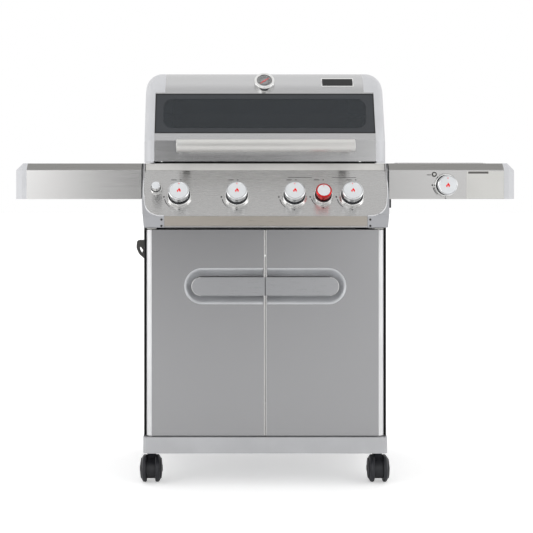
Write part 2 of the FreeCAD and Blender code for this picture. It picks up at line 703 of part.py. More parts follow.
def make_grates():
    thirds = [slotted(low, low + 200, 56, 454, 9, 6, 11) for low in (-302, -100, 102)]
    grates = [padded(f"grate_{index}", "XY", loops, "grate_z", "grate_z + 10")
              for index, loops in enumerate(thirds)]
    subpart(group("grate_set", *grates), "cooking_grates")

    shelf = padded("rack_shelf", "XY", slotted(-320, 320, 250, 398, 5, 4, 16), 1033, 1037)
    legs = [rod(f"rack_leg_{'left' if side < 0 else 'right'}", 4, (side * 315, 393, "box_top"),
                "1035 - box_top", "z") for side in (-1, 1)]
    subpart(fuse("rack_body", shelf, *legs), "warming_rack")


def make_grease_tray():
    half, low, rim = d.tray_half, d.tray_low, d.tray_rim
    outer = box("tray_outer", (-half, half), (92, 466), (low, rim + 1.5))
    flange = box("tray_flange", (-half - 7.5, half + 7.5), (92, 466), (rim, rim + 1.5))
    face = box("tray_face", (-half - 8, half + 8), (466, 468), (low - 6, rim + 8))
    pull = rod("tray_pull", 5, (-50, 486, low + 14), 100, "x")
    arms = [box(f"tray_arm_{'left' if side < 0 else 'right'}", (side * 44 - 4, side * 44 + 4), (467, 486),
                (low + 10, low + 18)) for side in (-1, 1)]
    inside = box("tray_inside", (-half + 1.5, half - 1.5), (93.5, 464.5), (low + 1.5, rim + 2))
    subpart(cut("tray_body", fuse("tray_solid", outer, flange, face, pull, *arms), inside), "grease_tray")


# ---- shelves and side burner ---------------------------------------------------------------------

def shelf_sheet(name):
    """Right-hand shelf top: a folded sheet with a bevel along its front and back, and an inner end."""
    low, top, depth, bevel = d.shelf_low, d.shelf_top, d.shelf_depth, d.shelf_bevel
    path = [(0, low), (0, top - bevel, 2), (bevel, top, 2), (depth - bevel, top, 2), (depth, top - bevel, 2),
            (depth, low)]
    folded = padded(name + "_fold", "YZ", [strip(path, d.sheet)], "shelf_in", "shelf_out")
    inner_end = padded(name + "_end", "YZ", [path], "shelf_in", "shelf_in + sheet")
    return folded, inner_end


def make_end_cap():
    """Cast cap on a shelf's outer end; its bevel runs on round both outer corners."""
    body = new_body("cap_outer")
    drawing = sketch_on(body, "cap_sketch", "XY_Plane",
                        [rectangle(d.shelf_out, d.cap_out, 0, d.shelf_depth)], "shelf_low")
    pad = body.newObject("PartDesign::Pad", "cap_pad")
    pad.Profile = drawing
    bind(pad, "Length", "shelf_top - shelf_low")
    doc.recompute()
    edges = []
    for index, edge in enumerate(pad.Shape.Edges, start=1):
        middle = edge.CenterOfMass
        upper = abs(middle.z - d.shelf_top) < 0.1 and middle.x > d.shelf_out + 1
        upright = abs(middle.x - d.cap_out) < 0.1 and abs(middle.z - d.shelf_top) > 20 and edge.Length < 110
        if upper or upright:
            edges.append(f"Edge{index}")
    chamfer = body.newObject("PartDesign::Chamfer", "cap_bevel")
    chamfer.Base = (pad, edges)
    bind(chamfer, "Size", "shelf_bevel")
    body.Tip = chamfer
    hollow = box("cap_hollow", ("shelf_out - 1", "cap_out - 4"),
                 ("shelf_bevel + 2", "shelf_depth - shelf_bevel - 2"), ("shelf_low - 1", "shelf_top - 4"))
    step = box("cap_hollow_step", ("cap_out - shelf_bevel - 3", "cap_out"), (0, "shelf_depth"),
               ("shelf_top - shelf_bevel - 3", "shelf_top"))
    right = subpart(cut("cap_body", body, cut("cap_core", hollow, step)), "shelf_right_end_cap")
    mirrored(right, "shelf_left_end_cap")


def make_shelves():
    plain = shelf_sheet("plain_shelf")
    hidden = fuse("plain_shelf_body", *plain)
    left = doc.addObject("Part::Mirroring", "shelf_left_body")
    left.Source = hidden
    left.Normal = Vector(1, 0, 0)
    subpart(left, "shelf_left")

    burner_shelf = shelf_sheet("burner_shelf")
    lug = box("shelf_lug", ("shelf_in", "shelf_in + 12"), (24, 56), ("shelf_low - 24", "shelf_low + 4"))
    opening = box("well_opening", ("well_x - well_half_x - 0.2", "well_x + well_half_x + 0.2"),
                  ("well_y - well_half_y - 0.2", "well_y + well_half_y + 0.2"),
                  ("shelf_top - 5", "shelf_top + 1"))
    knob_hole = rod("side_knob_hole", 5, ("side_knob_x", -2, "side_knob_z"), 6, "y")
    subpart(cut("burner_shelf_body", fuse("burner_shelf_solid", *burner_shelf, lug), opening, knob_hole),
            "shelf_right")
    make_end_cap()


def make_side_burner():
    """Well with a burner head, its valve, and the fixed halves of the burner lid's hinges."""
    x, y = d.well_x, d.well_y
    pan = box("well_outer", ("well_x - well_half_x", "well_x + well_half_x"),
              ("well_y - well_half_y", "well_y + well_half_y"), ("well_low", "shelf_top + 0.8"))
    rim = box("well_rim", ("well_x - well_half_x - 6", "well_x + well_half_x + 6"),
              ("well_y - well_half_y - 6", "well_y + well_half_y + 6"), ("shelf_top", "shelf_top + 0.8"))
    inside = box("well_inside", ("well_x - well_half_x + 2", "well_x + well_half_x - 2"),
                 ("well_y - well_half_y + 2", "well_y + well_half_y - 2"), ("well_low + 2", "shelf_top + 2"))
    head = turned("burner_head", [(0, 0), (16, 0), (16, 12), (38, 16), (38, 24, 3), (0, 27)])
    head.Placement = FreeCAD.Placement(Vector(x, y, d.well_low + 2), FreeCAD.Rotation())
    feed = rod("side_feed", 7, (x, 50, 826), y - 44, "y")
    riser = rod("side_riser", 9, (x, y, 816), "well_low - 816", "z")
    valve = rod("side_valve", 13, ("side_knob_x", 12, "side_knob_z"), 44, "y")
    valve_bore = rod("side_valve_bore", "spindle_r + fit", ("side_knob_x", 11, "side_knob_z"), 31, "y")
    well = cut("well_pan", fuse("well_solid", pan, rim), inside)
    gas_path = cut("side_gas", fuse("side_gas_solid", feed, valve, riser), valve_bore)
    hinges = []
    for side in (-1, 1):
        tag = "left" if side < 0 else "right"
        middle = x + side * 85
        cheeks = [box(f"cheek_{tag}_{end}", (middle + reach - 2, middle + reach + 2),
                      ("side_hinge_y - 5", "side_hinge_y + 5"), ("shelf_top", "side_hinge_z + 3.4"))
                  for end, reach in (("in", -14), ("out", 14))]
        pin = rod(f"side_pin_{tag}", 2, (middle - 14, "side_hinge_y", "side_hinge_z"), 28, "x")
        hinges.append(fuse(f"side_hinge_{tag}", *cheeks, pin))
    subpart(group("side_burner_set", well, head, gas_path, *hinges), "side_burner")

    loops = slotted(x - 110, x + 110, y - 122, y + 122, 7, 7, 24)
    grid = padded("side_grid", "XY", loops, "shelf_top - 18", "shelf_top - 11")
    feet = [rod(f"side_foot_{index}", 4, (x + sx * 104, y + sy * 116, "well_low + 2"), 31, "z")
            for index, (sx, sy) in enumerate(((-1, -1), (1, -1), (-1, 1), (1, 1)))]
    subpart(fuse("side_grate_body", grid, *feet), "side_burner_grate")


def make_side_lid():
    """Flat plate lid over the side burner, with two knuckles that turn on the fixed pins."""
    x = d.well_x
    low = d.shelf_top + 1.2
    high = low + 1.5
    plate = padded("side_lid_plate", "XY", [rectangle(x - 126, x + 126, 70, 374, 10)], low, high)
    knuckles = []
    for side in (-1, 1):
        tag = "left" if side < 0 else "right"
        middle = x + side * 85
        barrel = rod(f"knuckle_{tag}", 3.6, (middle - 11, "side_hinge_y", "side_hinge_z"), 22, "x")
        leaf = box(f"leaf_{tag}", (middle - 11, middle + 11), (372, "side_hinge_y"), (low, high))
        knuckles += [barrel, leaf]
    bores = [rod(f"knuckle_bore_{'left' if side < 0 else 'right'}", "2 + fit",
                 (x + side * 85 - 12, "side_hinge_y", "side_hinge_z"), 24, "x") for side in (-1, 1)]
    subpart(cut("side_lid_body", fuse("side_lid_solid", plate, *knuckles), *bores), "side_burner_lid")


def make_bottle_opener():
    """Wall-mounted bottle opener: a thick top, an outer arm and an inner claw."""
    wall = -d.cart_half
    outer = [(wall, 671), (wall - 25, 671, 5), (wall - 27, 650, 20), (wall - 19, 632, 25), (wall, 616)]
    window = [(wall - 20, 652, 1.5), (wall - 14, 652, 1.5), (wall - 8, 643, 1), (wall - 10.5, 638, 1),
              (wall - 6.5, 629.5, 1), (wall - 14, 635, 8), (wall - 19, 643, 8)]
    gap = [(wall - 10.5, 652, 0.8), (wall - 1.5, 652, 0.8), (wall - 1.5, 640.5, 0.8)]
    subpart(padded("opener_body", "XZ", [outer, window, gap], 86, 122), "bottle_opener")


# ---- lid -----------------------------------------------------------------------------------------

SLOPE = math.radians(d.lid_slope)
SLOPE_RUN = (d.lid_top - d.lid_crease) * math.tan(SLOPE)


def lid_path(inset=0):
    """Side profile of the lid from its front lower edge over the top to its rear lower edge."""
    front = d.lid_front + inset
    top = d.lid_top - inset
    rear = d.lid_rear - inset
    crease = d.lid_crease - inset * math.tan(SLOPE / 2)
    corner = front + (top - crease) * math.tan(SLOPE)
    return [(front, d.lid_low), (front, crease), (corner, top, d.lid_roll - inset), (420, top, 90 - inset),
            (rear, 1058 - inset * 0.4, 60 - inset), (rear, d.lid_low)]


def rounding_at(point, inset):
    """Radius of the lid end's outer edge: large over the top, less at the front, small by the hinge."""
    if point.y > 440:
        return (44 if point.z > 960 else 5) - inset
    return (44 if point.z > d.lid_top - inset - 1 else 27) - inset


def lid_end_solid(name, half, inset):
    """Block of the lid's side profile with its outer edge rounded."""
    low_x = d.crown_half if inset == 0 else d.crown_half - 8
    path = lid_path(inset)
    path[0] = (path[0][0], d.lid_low - (4 if inset else 0))
    path[-1] = (path[-1][0], d.lid_low - (4 if inset else 0))
    block = padded(name + "_block", "YZ", [path], low_x, half)
    doc.recompute()
    edges = []
    for index, edge in enumerate(block.Shape.Edges, start=1):
        if abs(edge.BoundBox.XMin - half) > 0.01 or edge.BoundBox.ZMax < d.lid_low + 1:
            continue
        first, last = [rounding_at(vertex.Point, inset) for vertex in edge.Vertexes]
        edges.append((index, first, last))
    rounded = doc.addObject("Part::Fillet", name + "_round")
    rounded.Base = block
    rounded.Edges = edges
    return rounded


def make_lid_ends():
    outer = lid_end_solid("lid_end_outer", d.lid_half, 0)
    inner = lid_end_solid("lid_end_inner", d.lid_half - d.casting, d.casting)
    crown_start = d.lid_crease + (d.window_high + 3.5) * math.cos(SLOPE)
    beside_window = box("beside_window", ("crown_half - 1", "skin_half"), (0, 125), (880, crown_start))
    ear_room = box("ear_room", ("lid_half - 22", "lid_half - casting"), (480, 495), (885, 914))
    pin_bore = rod("lid_end_bore", "hinge_pin_r + fit", ("lid_half - casting - 2", "hinge_y", "hinge_z"), 8, "x")
    right = subpart(cut("lid_end_body", outer, inner, beside_window, ear_room, pin_bore), "lid_end_right")
    mirrored(right, "lid_end_left")


def slope_piece(name, half_x, low_s, high_s, low_n, high_n, loops=None):
    """A slab in the plane of the sloping lid front; s runs up the slope, n out of it."""
    loops = loops or [rectangle(-half_x, half_x, low_s, high_s, 2)]
    slab = padded(name, "XY", loops, low_n, high_n)
    slab.Placement = FreeCAD.Placement(Vector(0, d.lid_front, d.lid_crease),
                                       FreeCAD.Rotation(Vector(1, 0, 0), 90 - d.lid_slope))
    return slab


def make_lid():
    skin = padded("lid_sheet", "YZ", [strip(lid_path(), d.sheet)], "-skin_half + 0.1", "skin_half - 0.1")
    window_slot = slope_piece("window_slot", d.skin_half + 2, d.window_low, d.window_high, -12, 6)
    crown_start = d.lid_crease + (d.window_high + 3.5) * math.cos(SLOPE) - 0.1
    shoulders = [box(f"shoulder_{'left' if side < 0 else 'right'}",
                     sorted((side * (d.crown_half - 0.1), side * 310)), (40, 495), (crown_start, 1150))
                 for side in (-1, 1)]
    hips = [box(f"hip_{'left' if side < 0 else 'right'}",
                sorted((side * (d.crown_half - 0.1), side * 310)), (400, 495), (880, 1100))
            for side in (-1, 1)]
    subpart(cut("lid_skin_body", skin, window_slot, *shoulders, *hips), "lid_skin")
    make_lid_ends()

    glass_half = d.skin_half - 1.5
    subpart_on_slope(slope_piece("window_glass", glass_half, d.window_low + 1.5, d.window_high - 1.5, -4.5, -0.5),
                     "lid_window")
    slab = slope_piece("frame_slab", glass_half, d.window_low - 13, d.window_high + 3, -8, -1.6)
    seat = slope_piece("frame_seat", glass_half + 5, d.window_low, d.window_high, -4.5, 1)
    inset = 22
    view = slope_piece("frame_view", 0, 0, 0, -10, 0,
                       [rectangle(-glass_half + inset, glass_half - inset, d.window_low + 16,
                                  d.window_high - 16, 26)])
    subpart(cut("window_frame_body", slab, seat, view), "lid_window_frame")


def subpart_on_slope(slab, label):
    """Export a piece that stands on the lid's slope; its Placement keeps the slope's turn."""
    turn = slab.Placement.Rotation
    return subpart(slab, label, 0, d.lid_front, d.lid_crease, turn)


def make_lid_handle():
    end = d.handle_half - 5
    bore = d.handle_r - 2
    tube = turned("handle_tube", [(bore, -end), (d.handle_r, -end), (d.handle_r, end), (bore, end)])
    turn = FreeCAD.Rotation(Vector(0, 1, 0), 90)
    subpart(tube, "lid_handle", 0, "handle_y", "handle_z", turn)
    caps = []
    for side in (-1, 1):
        cap = turned(f"handle_cap_{'left' if side < 0 else 'right'}",
                     [(0, side * (end - 10)), (bore, side * (end - 10)), (bore, side * end),
                      (d.handle_r, side * end), (d.handle_r, side * (end + 5), 2), (0, side * (end + 5))])
        caps.append(cap)
    subpart(group("handle_cap_pair", *caps), "lid_handle_caps", 0, "handle_y", "handle_z", turn)
    posts = []
    for side in (-1, 1):
        tag = "left" if side < 0 else "right"
        x = side * d.handle_post_x
        arm = padded(f"handle_arm_{tag}", "YZ",
                     [[(d.lid_front, 918, 2), (d.lid_front, 948, 2), (d.handle_y + 6, 946),
                       (d.handle_y + 6, 920)]], x - 9.5, x + 9.5)
        saddle = rod(f"handle_saddle_{tag}", "handle_r + 0.02", (x - 10, "handle_y", "handle_z"), 20, "x")
        posts.append(cut(f"handle_post_{tag}", arm, saddle))
    subpart(group("handle_post_set", *posts), "lid_handle_posts")


def make_gauge():
    """Thermometer on the lid's roll: a thick case cut to the roll, and a needle on its own pin."""
    tilt = math.radians(90 - d.gauge_tilt)
    centre = Vector(0, d.lid_front + SLOPE_RUN + d.lid_roll * math.tan((math.pi / 2 - SLOPE) / 2),
                    d.lid_top - d.lid_roll)
    seat = centre + Vector(0, -math.cos(tilt), math.sin(tilt)) * d.lid_roll
    turn = FreeCAD.Rotation(Vector(1, 0, 0), d.gauge_tilt)
    case = turned("gauge_case", [(0, -6), (d.gauge_r - 3, -6), (d.gauge_r - 1, 2), (d.gauge_r, 12, 1),
                                 (d.gauge_r - 2, 16, 2), (21.5, 16, 1), (21.5, 12), (1.2, 12), (1.2, 13.8),
                                 (0, 13.8)])
    case.Placement = FreeCAD.Placement(seat, turn)
    roll = rod("gauge_roll", "lid_roll + 0.05", (-40, centre.y, centre.z), 80, "x")
    subpart(cut("gauge_body", case, roll), "thermometer")
    bore = 1.2 + d.fit
    blade = padded("needle_blade", "XY", [[(-16, -0.5), (-4, -1.3), (4, -1.3), (17.5, -0.4), (17.5, 0.4),
                                           (4, 1.3), (-4, 1.3), (-16, 0.5)]], 12.6, 13.4)
    hub = rod("needle_hub", 2.6, (0, 0, 12.4), 1.2, "z")
    hole = rod("needle_hole", bore, (0, 0, 12), 3, "z")
    needle = cut("needle_body", fuse("needle_solid", blade, hub), hole)
    point_up = turn.multiply(FreeCAD.Rotation(Vector(0, 0, 1), 40))
    subpart(needle, "thermometer_needle", seat.x, seat.y, seat.z, point_up)


# ---- assembly ------------------------------------------------------------------------------------

make_base_tray()
for end, stem_y, trail_sign in (("front", "front_stem_y", -1), ("rear", "rear_stem_y", 1)):
    for side in (-1, 1):
        make_caster(f"{end}_{'left' if side < 0 else 'right'}", side, stem_y, trail_sign)
make_cabinet()
make_door_hinges()
make_door()
make_control_panel()
make_bezels()
for tag, x in KNOBS:
    radius = d.broil_r if tag == "broil" else d.knob_r
    make_knob(tag, radius, d.knob_out, x, face_point(d.knob_axis_z), d.knob_axis_z, FACE_TURN)
make_knob("side", d.side_knob_r, 34, d.side_knob_x, 0, d.side_knob_z, FreeCAD.Rotation(Vector(1, 0, 0), 90))
make_button()
make_manifold()
make_firebox()
make_burners()
make_grates()
make_grease_tray()
make_shelves()
make_side_burner()
make_side_lid()
make_bottle_opener()
make_lid()
make_lid_handle()
make_gauge()
doc.recompute()

# ---- checks and export ---------------------------------------------------------------------------

for item in doc.Objects:
    if any(word in item.State for word in ("Invalid", "Error")):
        raise RuntimeError(f"{item.Name} failed: {item.State}")
for node in nodes:
    if node.Shape.isNull() or not node.Shape.isValid() or not node.Shape.Solids:
        raise RuntimeError(f"{node.Label} has no valid solid")

os.makedirs("parts", exist_ok=True)
for node in nodes:
    node.Shape.exportStep(f"parts/{node.Label}.step")
print(len(nodes), "sub-parts")
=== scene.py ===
"""Looks of the gas barbecue grill: materials, printed marks, trims, light and camera.

Metres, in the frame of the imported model: +X right, +Y back, +Z up, floor at Z = 0.
"""
import json
import math

import bpy
from mathutils import Matrix, Vector


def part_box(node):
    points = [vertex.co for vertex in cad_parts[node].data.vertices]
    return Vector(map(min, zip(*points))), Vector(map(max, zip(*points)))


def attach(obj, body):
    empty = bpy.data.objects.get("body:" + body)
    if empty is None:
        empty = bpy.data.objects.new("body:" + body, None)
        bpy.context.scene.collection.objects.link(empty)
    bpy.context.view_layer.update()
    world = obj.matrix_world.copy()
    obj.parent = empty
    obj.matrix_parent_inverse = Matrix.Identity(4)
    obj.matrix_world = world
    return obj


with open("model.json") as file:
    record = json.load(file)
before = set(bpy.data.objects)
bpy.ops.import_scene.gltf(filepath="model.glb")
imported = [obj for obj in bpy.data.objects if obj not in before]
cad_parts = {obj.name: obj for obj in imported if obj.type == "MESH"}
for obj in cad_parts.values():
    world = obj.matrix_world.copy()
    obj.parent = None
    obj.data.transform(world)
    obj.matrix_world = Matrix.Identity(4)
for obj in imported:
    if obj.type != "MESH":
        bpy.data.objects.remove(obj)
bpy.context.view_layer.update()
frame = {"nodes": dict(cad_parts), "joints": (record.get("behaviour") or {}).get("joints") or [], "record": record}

MM = 0.001
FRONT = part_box("shelf_left")[0].y            # plane of the shelf fronts
JOINTS = {joint["name"]: joint for joint in frame["joints"]}
SIDES = (("left", -1), ("right", 1))


# ---- mesh helpers --------------------------------------------------------------------------------

def add_mesh(name, verts, faces, material, smooth=False):
    mesh = bpy.data.meshes.new(name)
    mesh.from_pydata([tuple(v) for v in verts], [], faces)
    mesh.validate()
    mesh.update()
    mesh.materials.append(material)
    piece = bpy.data.objects.new(name, mesh)
    bpy.context.scene.collection.objects.link(piece)
    if smooth:
        for polygon in mesh.polygons:
            polygon.use_smooth = True
    return piece


def sharpen(piece, degrees=35):
    """Smooth shading that keeps edges sharper than the angle."""
    for polygon in piece.data.polygons:
        polygon.use_smooth = True
    piece.data.set_sharp_from_angle(angle=math.radians(degrees))
    return piece


def bevel(piece, width, segments=2):
    modifier = piece.modifiers.new("edge", "BEVEL")
    modifier.width = width
    modifier.segments = segments
    modifier.limit_method = "ANGLE"
    modifier.angle_limit = math.radians(40)
    modifier.harden_normals = False
    return piece


def stand(piece, origin, axis=(0, 0, 1), turn=0.0):
    """Put a piece's own origin at a point, with its Z along the axis and its X along the grill's X."""
    up = Vector(axis).normalized()
    across = Vector((1, 0, 0))
    if abs(up.x) > 0.9:
        across = Vector((0, 1, 0))
    side = up.cross(across).normalized()
    across = side.cross(up)
    basis = Matrix((across, side, up)).transposed().to_4x4()
    piece.matrix_world = Matrix.Translation(Vector(origin)) @ basis @ Matrix.Rotation(turn, 4, "Z")
    return piece


def lathe(name, profile, material, steps=72, angle=35):
    """Surface of revolution about Z from (radius, height) points."""
    verts = []
    rings = []
    for radius, height in profile:
        if radius < 1e-7:
            rings.append([len(verts)])
            verts.append((0, 0, height))
            continue
        rings.append(list(range(len(verts), len(verts) + steps)))
        for step in range(steps):
            turn = 2 * math.pi * step / steps
            verts.append((radius * math.cos(turn), radius * math.sin(turn), height))
    faces = []
    for low, high in zip(rings, rings[1:]):
        for step in range(steps):
            after = (step + 1) % steps
            if len(low) == 1 and len(high) > 1:
                faces.append((low[0], high[after], high[step]))
            elif len(high) == 1 and len(low) > 1:
                faces.append((low[step], low[after], high[0]))
            elif len(low) > 1:
                faces.append((low[step], low[after], high[after], high[step]))
    return sharpen(add_mesh(name, verts, faces, material), angle)


def closed_ring(name, inner, outer, low, high, material, crown=0.0, steps=72):
    """A turned ring with a slightly crowned top."""
    middle = (inner + outer) / 2
    profile = [(inner, low), (outer, low), (outer, high), (middle, high + crown), (inner, high), (inner, low)]
    ring = lathe(name, profile, material, steps)
    weld(ring)
    return ring


def weld(piece, distance=1e-6):
    modifier = piece.modifiers.new("weld", "WELD")
    modifier.merge_threshold = distance
    return piece


def slab(name, outline, low, high, material):
    """A flat piece with a closed outline, from low to high along its own Z."""
    count = len(outline)
    verts = [(x, y, low) for x, y in outline] + [(x, y, high) for x, y in outline]
    faces = [tuple(reversed(range(count))), tuple(range(count, 2 * count))]
    faces += [(i, (i + 1) % count, count + (i + 1) % count, count + i) for i in range(count)]
    return add_mesh(name, verts, faces, material)


def framed_slab(name, outer, inner, low, high, material):
    """A flat frame between two outlines that have the same number of points."""
    count = len(outer)
    verts = [(x, y, z) for z in (low, high) for loop in (outer, inner) for x, y in loop]
    faces = []
    for i in range(count):
        j = (i + 1) % count
        faces.append((i, count + i, count + j, j))
        faces.append((2 * count + i, 2 * count + j, 3 * count + j, 3 * count + i))
        faces.append((i, j, 2 * count + j, 2 * count + i))
        faces.append((count + i, 3 * count + i, 3 * count + j, count + j))
    return add_mesh(name, verts, faces, material)


def rounded(low_x, high_x, low_y, high_y, radius, steps=8):
    """Outline of a rectangle with round corners, anticlockwise."""
    points = []
    corners = ((high_x - radius, high_y - radius, 0), (low_x + radius, high_y - radius, 1),
               (low_x + radius, low_y + radius, 2), (high_x - radius, low_y + radius, 3))
    for x, y, quarter in corners:
        for step in range(steps + 1):
            turn = math.pi / 2 * (quarter + step / steps)
            points.append((x + radius * math.cos(turn), y + radius * math.sin(turn)))
    return points


def arc_band(start, end, radius, width_start, width_end, steps=24):
    """Outline of an arc whose line grows from one width to another; angles in degrees."""
    inner = []
    outer = []
    for step in range(steps + 1):
        share = step / steps
        turn = math.radians(start + (end - start) * share)
        half = (width_start + (width_end - width_start) * share) / 2
        inner.append(((radius - half) * math.cos(turn), (radius - half) * math.sin(turn)))
        outer.append(((radius + half) * math.cos(turn), (radius + half) * math.sin(turn)))
    points = outer + inner[::-1]
    return points if end > start else points[::-1]


def wire(name, path, radius, material, sides=10):
    """A round wire along a path of points."""
    points = [Vector(point) for point in path]
    verts = []
    faces = []
    for index, point in enumerate(points):
        ahead = (points[min(index + 1, len(points) - 1)] - points[max(index - 1, 0)]).normalized()
        guide = Vector((1, 0, 0)) if abs(ahead.x) < 0.9 else Vector((0, 0, 1))
        across = ahead.cross(guide).normalized()
        over = across.cross(ahead)
        for side in range(sides):
            turn = 2 * math.pi * side / sides
            verts.append(point + (across * math.cos(turn) + over * math.sin(turn)) * radius)
    for index in range(len(points) - 1):
        for side in range(sides):
            a, b = index * sides + side, index * sides + (side + 1) % sides
            faces.append((a, b, b + sides, a + sides))
    last = (len(points) - 1) * sides
    faces.append(tuple(reversed(range(sides))))
    faces.append(tuple(range(last, last + sides)))
    return sharpen(add_mesh(name, verts, faces, material), 50)


def circle(x, y, radius, steps=24):
    return [(x + radius * math.cos(2 * math.pi * i / steps), y + radius * math.sin(2 * math.pi * i / steps))
            for i in range(steps)]


# ---- materials -----------------------------------------------------------------------------------

def start_material(name):
    material = bpy.data.materials.new(name)
    material.use_nodes = True
    tree = material.node_tree
    return material, tree, tree.nodes["Principled BSDF"]


def noise(tree, scale, stretch=(1, 1, 1), detail=4.0, rough=0.55):
    """Noise in the object's own coordinates; a small stretch number draws it out along that axis."""
    coordinates = tree.nodes.new("ShaderNodeTexCoord")
    mapping = tree.nodes.new("ShaderNodeMapping")
    mapping.inputs["Scale"].default_value = stretch
    tree.links.new(coordinates.outputs["Object"], mapping.inputs["Vector"])
    texture = tree.nodes.new("ShaderNodeTexNoise")
    texture.inputs["Scale"].default_value = scale
    texture.inputs["Detail"].default_value = detail
    texture.inputs["Roughness"].default_value = rough
    tree.links.new(mapping.outputs["Vector"], texture.inputs["Vector"])
    return texture.outputs["Fac"]


def ranged(tree, value, low, high, from_low=0.3, from_high=0.7):
    node = tree.nodes.new("ShaderNodeMapRange")
    node.inputs["From Min"].default_value = from_low
    node.inputs["From Max"].default_value = from_high
    node.inputs["To Min"].default_value = low
    node.inputs["To Max"].default_value = high
    tree.links.new(value, node.inputs["Value"])
    return node.outputs["Result"]


def mixed(tree, value, dark, light):
    node = tree.nodes.new("ShaderNodeMix")
    node.data_type = "RGBA"
    node.inputs["A"].default_value = (*dark, 1)
    node.inputs["B"].default_value = (*light, 1)
    tree.links.new(value, node.inputs["Factor"])
    return node.outputs["Result"]


def bump(tree, shader, value, strength, distance=0.0004):
    node = tree.nodes.new("ShaderNodeBump")
    node.inputs["Strength"].default_value = strength
    node.inputs["Distance"].default_value = distance
    tree.links.new(value, node.inputs["Height"])
    tree.links.new(node.outputs["Normal"], shader.inputs["Normal"])


def scaled(color, factor):
    return tuple(min(1.0, c * factor) for c in color)


def steel(name, color, roughness, grain, anisotropy=0.5, contrast=0.05, grain_bump=0.04):
    """Brushed steel: fine lines drawn out along the grain, faint smudges and a varying roughness."""
    material, tree, shader = start_material(name)
    shader.inputs["Metallic"].default_value = 1.0
    shader.inputs["Anisotropic"].default_value = anisotropy
    stretch = tuple(0.02 if axis == grain else 1.0 for axis in "xyz")
    lines = noise(tree, 900, stretch, 3.0, 0.6)
    smudge = noise(tree, 3.5, (1, 1, 1), 3.0, 0.5)
    blend = tree.nodes.new("ShaderNodeMath")
    blend.operation = "MULTIPLY_ADD"
    blend.inputs[1].default_value = 0.75
    tree.links.new(lines, blend.inputs[0])
    quarter = tree.nodes.new("ShaderNodeMath")
    quarter.operation = "MULTIPLY"
    quarter.inputs[1].default_value = 0.25
    tree.links.new(smudge, quarter.inputs[0])
    tree.links.new(quarter.outputs[0], blend.inputs[2])
    tone = ranged(tree, blend.outputs[0], 0, 1)
    tree.links.new(mixed(tree, tone, scaled(color, 1 - contrast), scaled(color, 1 + contrast)),
                   shader.inputs["Base Color"])
    tree.links.new(ranged(tree, blend.outputs[0], roughness * 0.85, roughness * 1.15),
                   shader.inputs["Roughness"])
    bump(tree, shader, lines, grain_bump, 0.0001)
    tangent = tree.nodes.new("ShaderNodeTangent")
    tangent.direction_type = "RADIAL"
    tangent.axis = {"x": "X", "y": "Y", "z": "Z"}[grain]
    tree.links.new(tangent.outputs["Tangent"], shader.inputs["Tangent"])
    return material


def coated(name, color, roughness, metallic=0.0, grain=700, strength=0.06, contrast=0.06, coat=0.0,
           specular=0.5):
    """Painted, powder-coated, cast or moulded surface with a fine texture and slight variation."""
    material, tree, shader = start_material(name)
    shader.inputs["Metallic"].default_value = metallic
    shader.inputs["Coat Weight"].default_value = coat
    shader.inputs["Specular IOR Level"].default_value = specular
    fine = noise(tree, grain, (1, 1, 1), 2.0, 0.5)
    wide = noise(tree, 9, (1, 1, 1), 4.0, 0.55)
    tone = ranged(tree, wide, 0, 1)
    tree.links.new(mixed(tree, tone, scaled(color, 1 - contrast), scaled(color, 1 + contrast)),
                   shader.inputs["Base Color"])
    tree.links.new(ranged(tree, wide, roughness * 0.88, roughness * 1.12), shader.inputs["Roughness"])
    bump(tree, shader, fine, strength, 0.0003)
    return material


def glass(name, color, alpha, roughness=0.04):
    """Tinted glass, partly seen through, with faint wipe marks in its gloss."""
    material, tree, shader = start_material(name)
    shader.inputs["Alpha"].default_value = alpha
    shader.inputs["IOR"].default_value = 1.5
    wipe = noise(tree, 6, (1, 0.2, 0.4), 4.0, 0.6)
    tree.links.new(mixed(tree, ranged(tree, wipe, 0, 1), scaled(color, 0.92), scaled(color, 1.08)),
                   shader.inputs["Base Color"])
    tree.links.new(ranged(tree, wipe, roughness, roughness * 2.2), shader.inputs["Roughness"])
    return material


LID_STEEL = steel("lid_steel", (0.60, 0.60, 0.605), 0.21, "x", 0.7)
PANEL_STEEL = steel("panel_steel", (0.58, 0.575, 0.57), 0.27, "x", 0.95)
SHELF_STEEL = steel("shelf_steel", (0.58, 0.575, 0.57), 0.22, "x", 0.7)
# Darker copy of the shelf steel: painted shade on the shelves' sloping front edges.
BEVEL_SHADE_STEEL = steel("bevel_painted_shade", (0.30, 0.295, 0.285), 0.30, "x", 0.7)
DOOR_STEEL = steel("door_steel", (0.445, 0.445, 0.455), 0.21, "x", 0.7)
STRIP_STEEL = steel("strip_steel", (0.52, 0.48, 0.43), 0.30, "x")
HANDLE_STEEL = steel("handle_steel", (0.82, 0.81, 0.79), 0.36, "x", 0.9)
# Bright steel for painted highlights: each door's seam edge and the rim round each grip's end.
EDGE_HIGHLIGHT = steel("edge_painted_highlight", (0.92, 0.91, 0.89), 0.30, "z", 0.0, 0.03)
# Bright steel for the ridge on the panel's cast corners: a painted highlight.
RIDGE_HIGHLIGHT = steel("ridge_painted_highlight", (0.84, 0.84, 0.85), 0.38, "z", 0.0, 0.03)
# Pale satin copy of the door steel: painted highlight along each door's rolled outer edge.
ROLLED_HIGHLIGHT = coated("rolled_painted_highlight", (0.86, 0.86, 0.87), 0.34, 0.35, 600, 0.02)
# Paler, duller copy of the panel steel: painted highlight on the band along the panel's top.
BAND_HIGHLIGHT = coated("band_painted_highlight", (0.70, 0.69, 0.67), 0.34, 0.35, 600, 0.02)
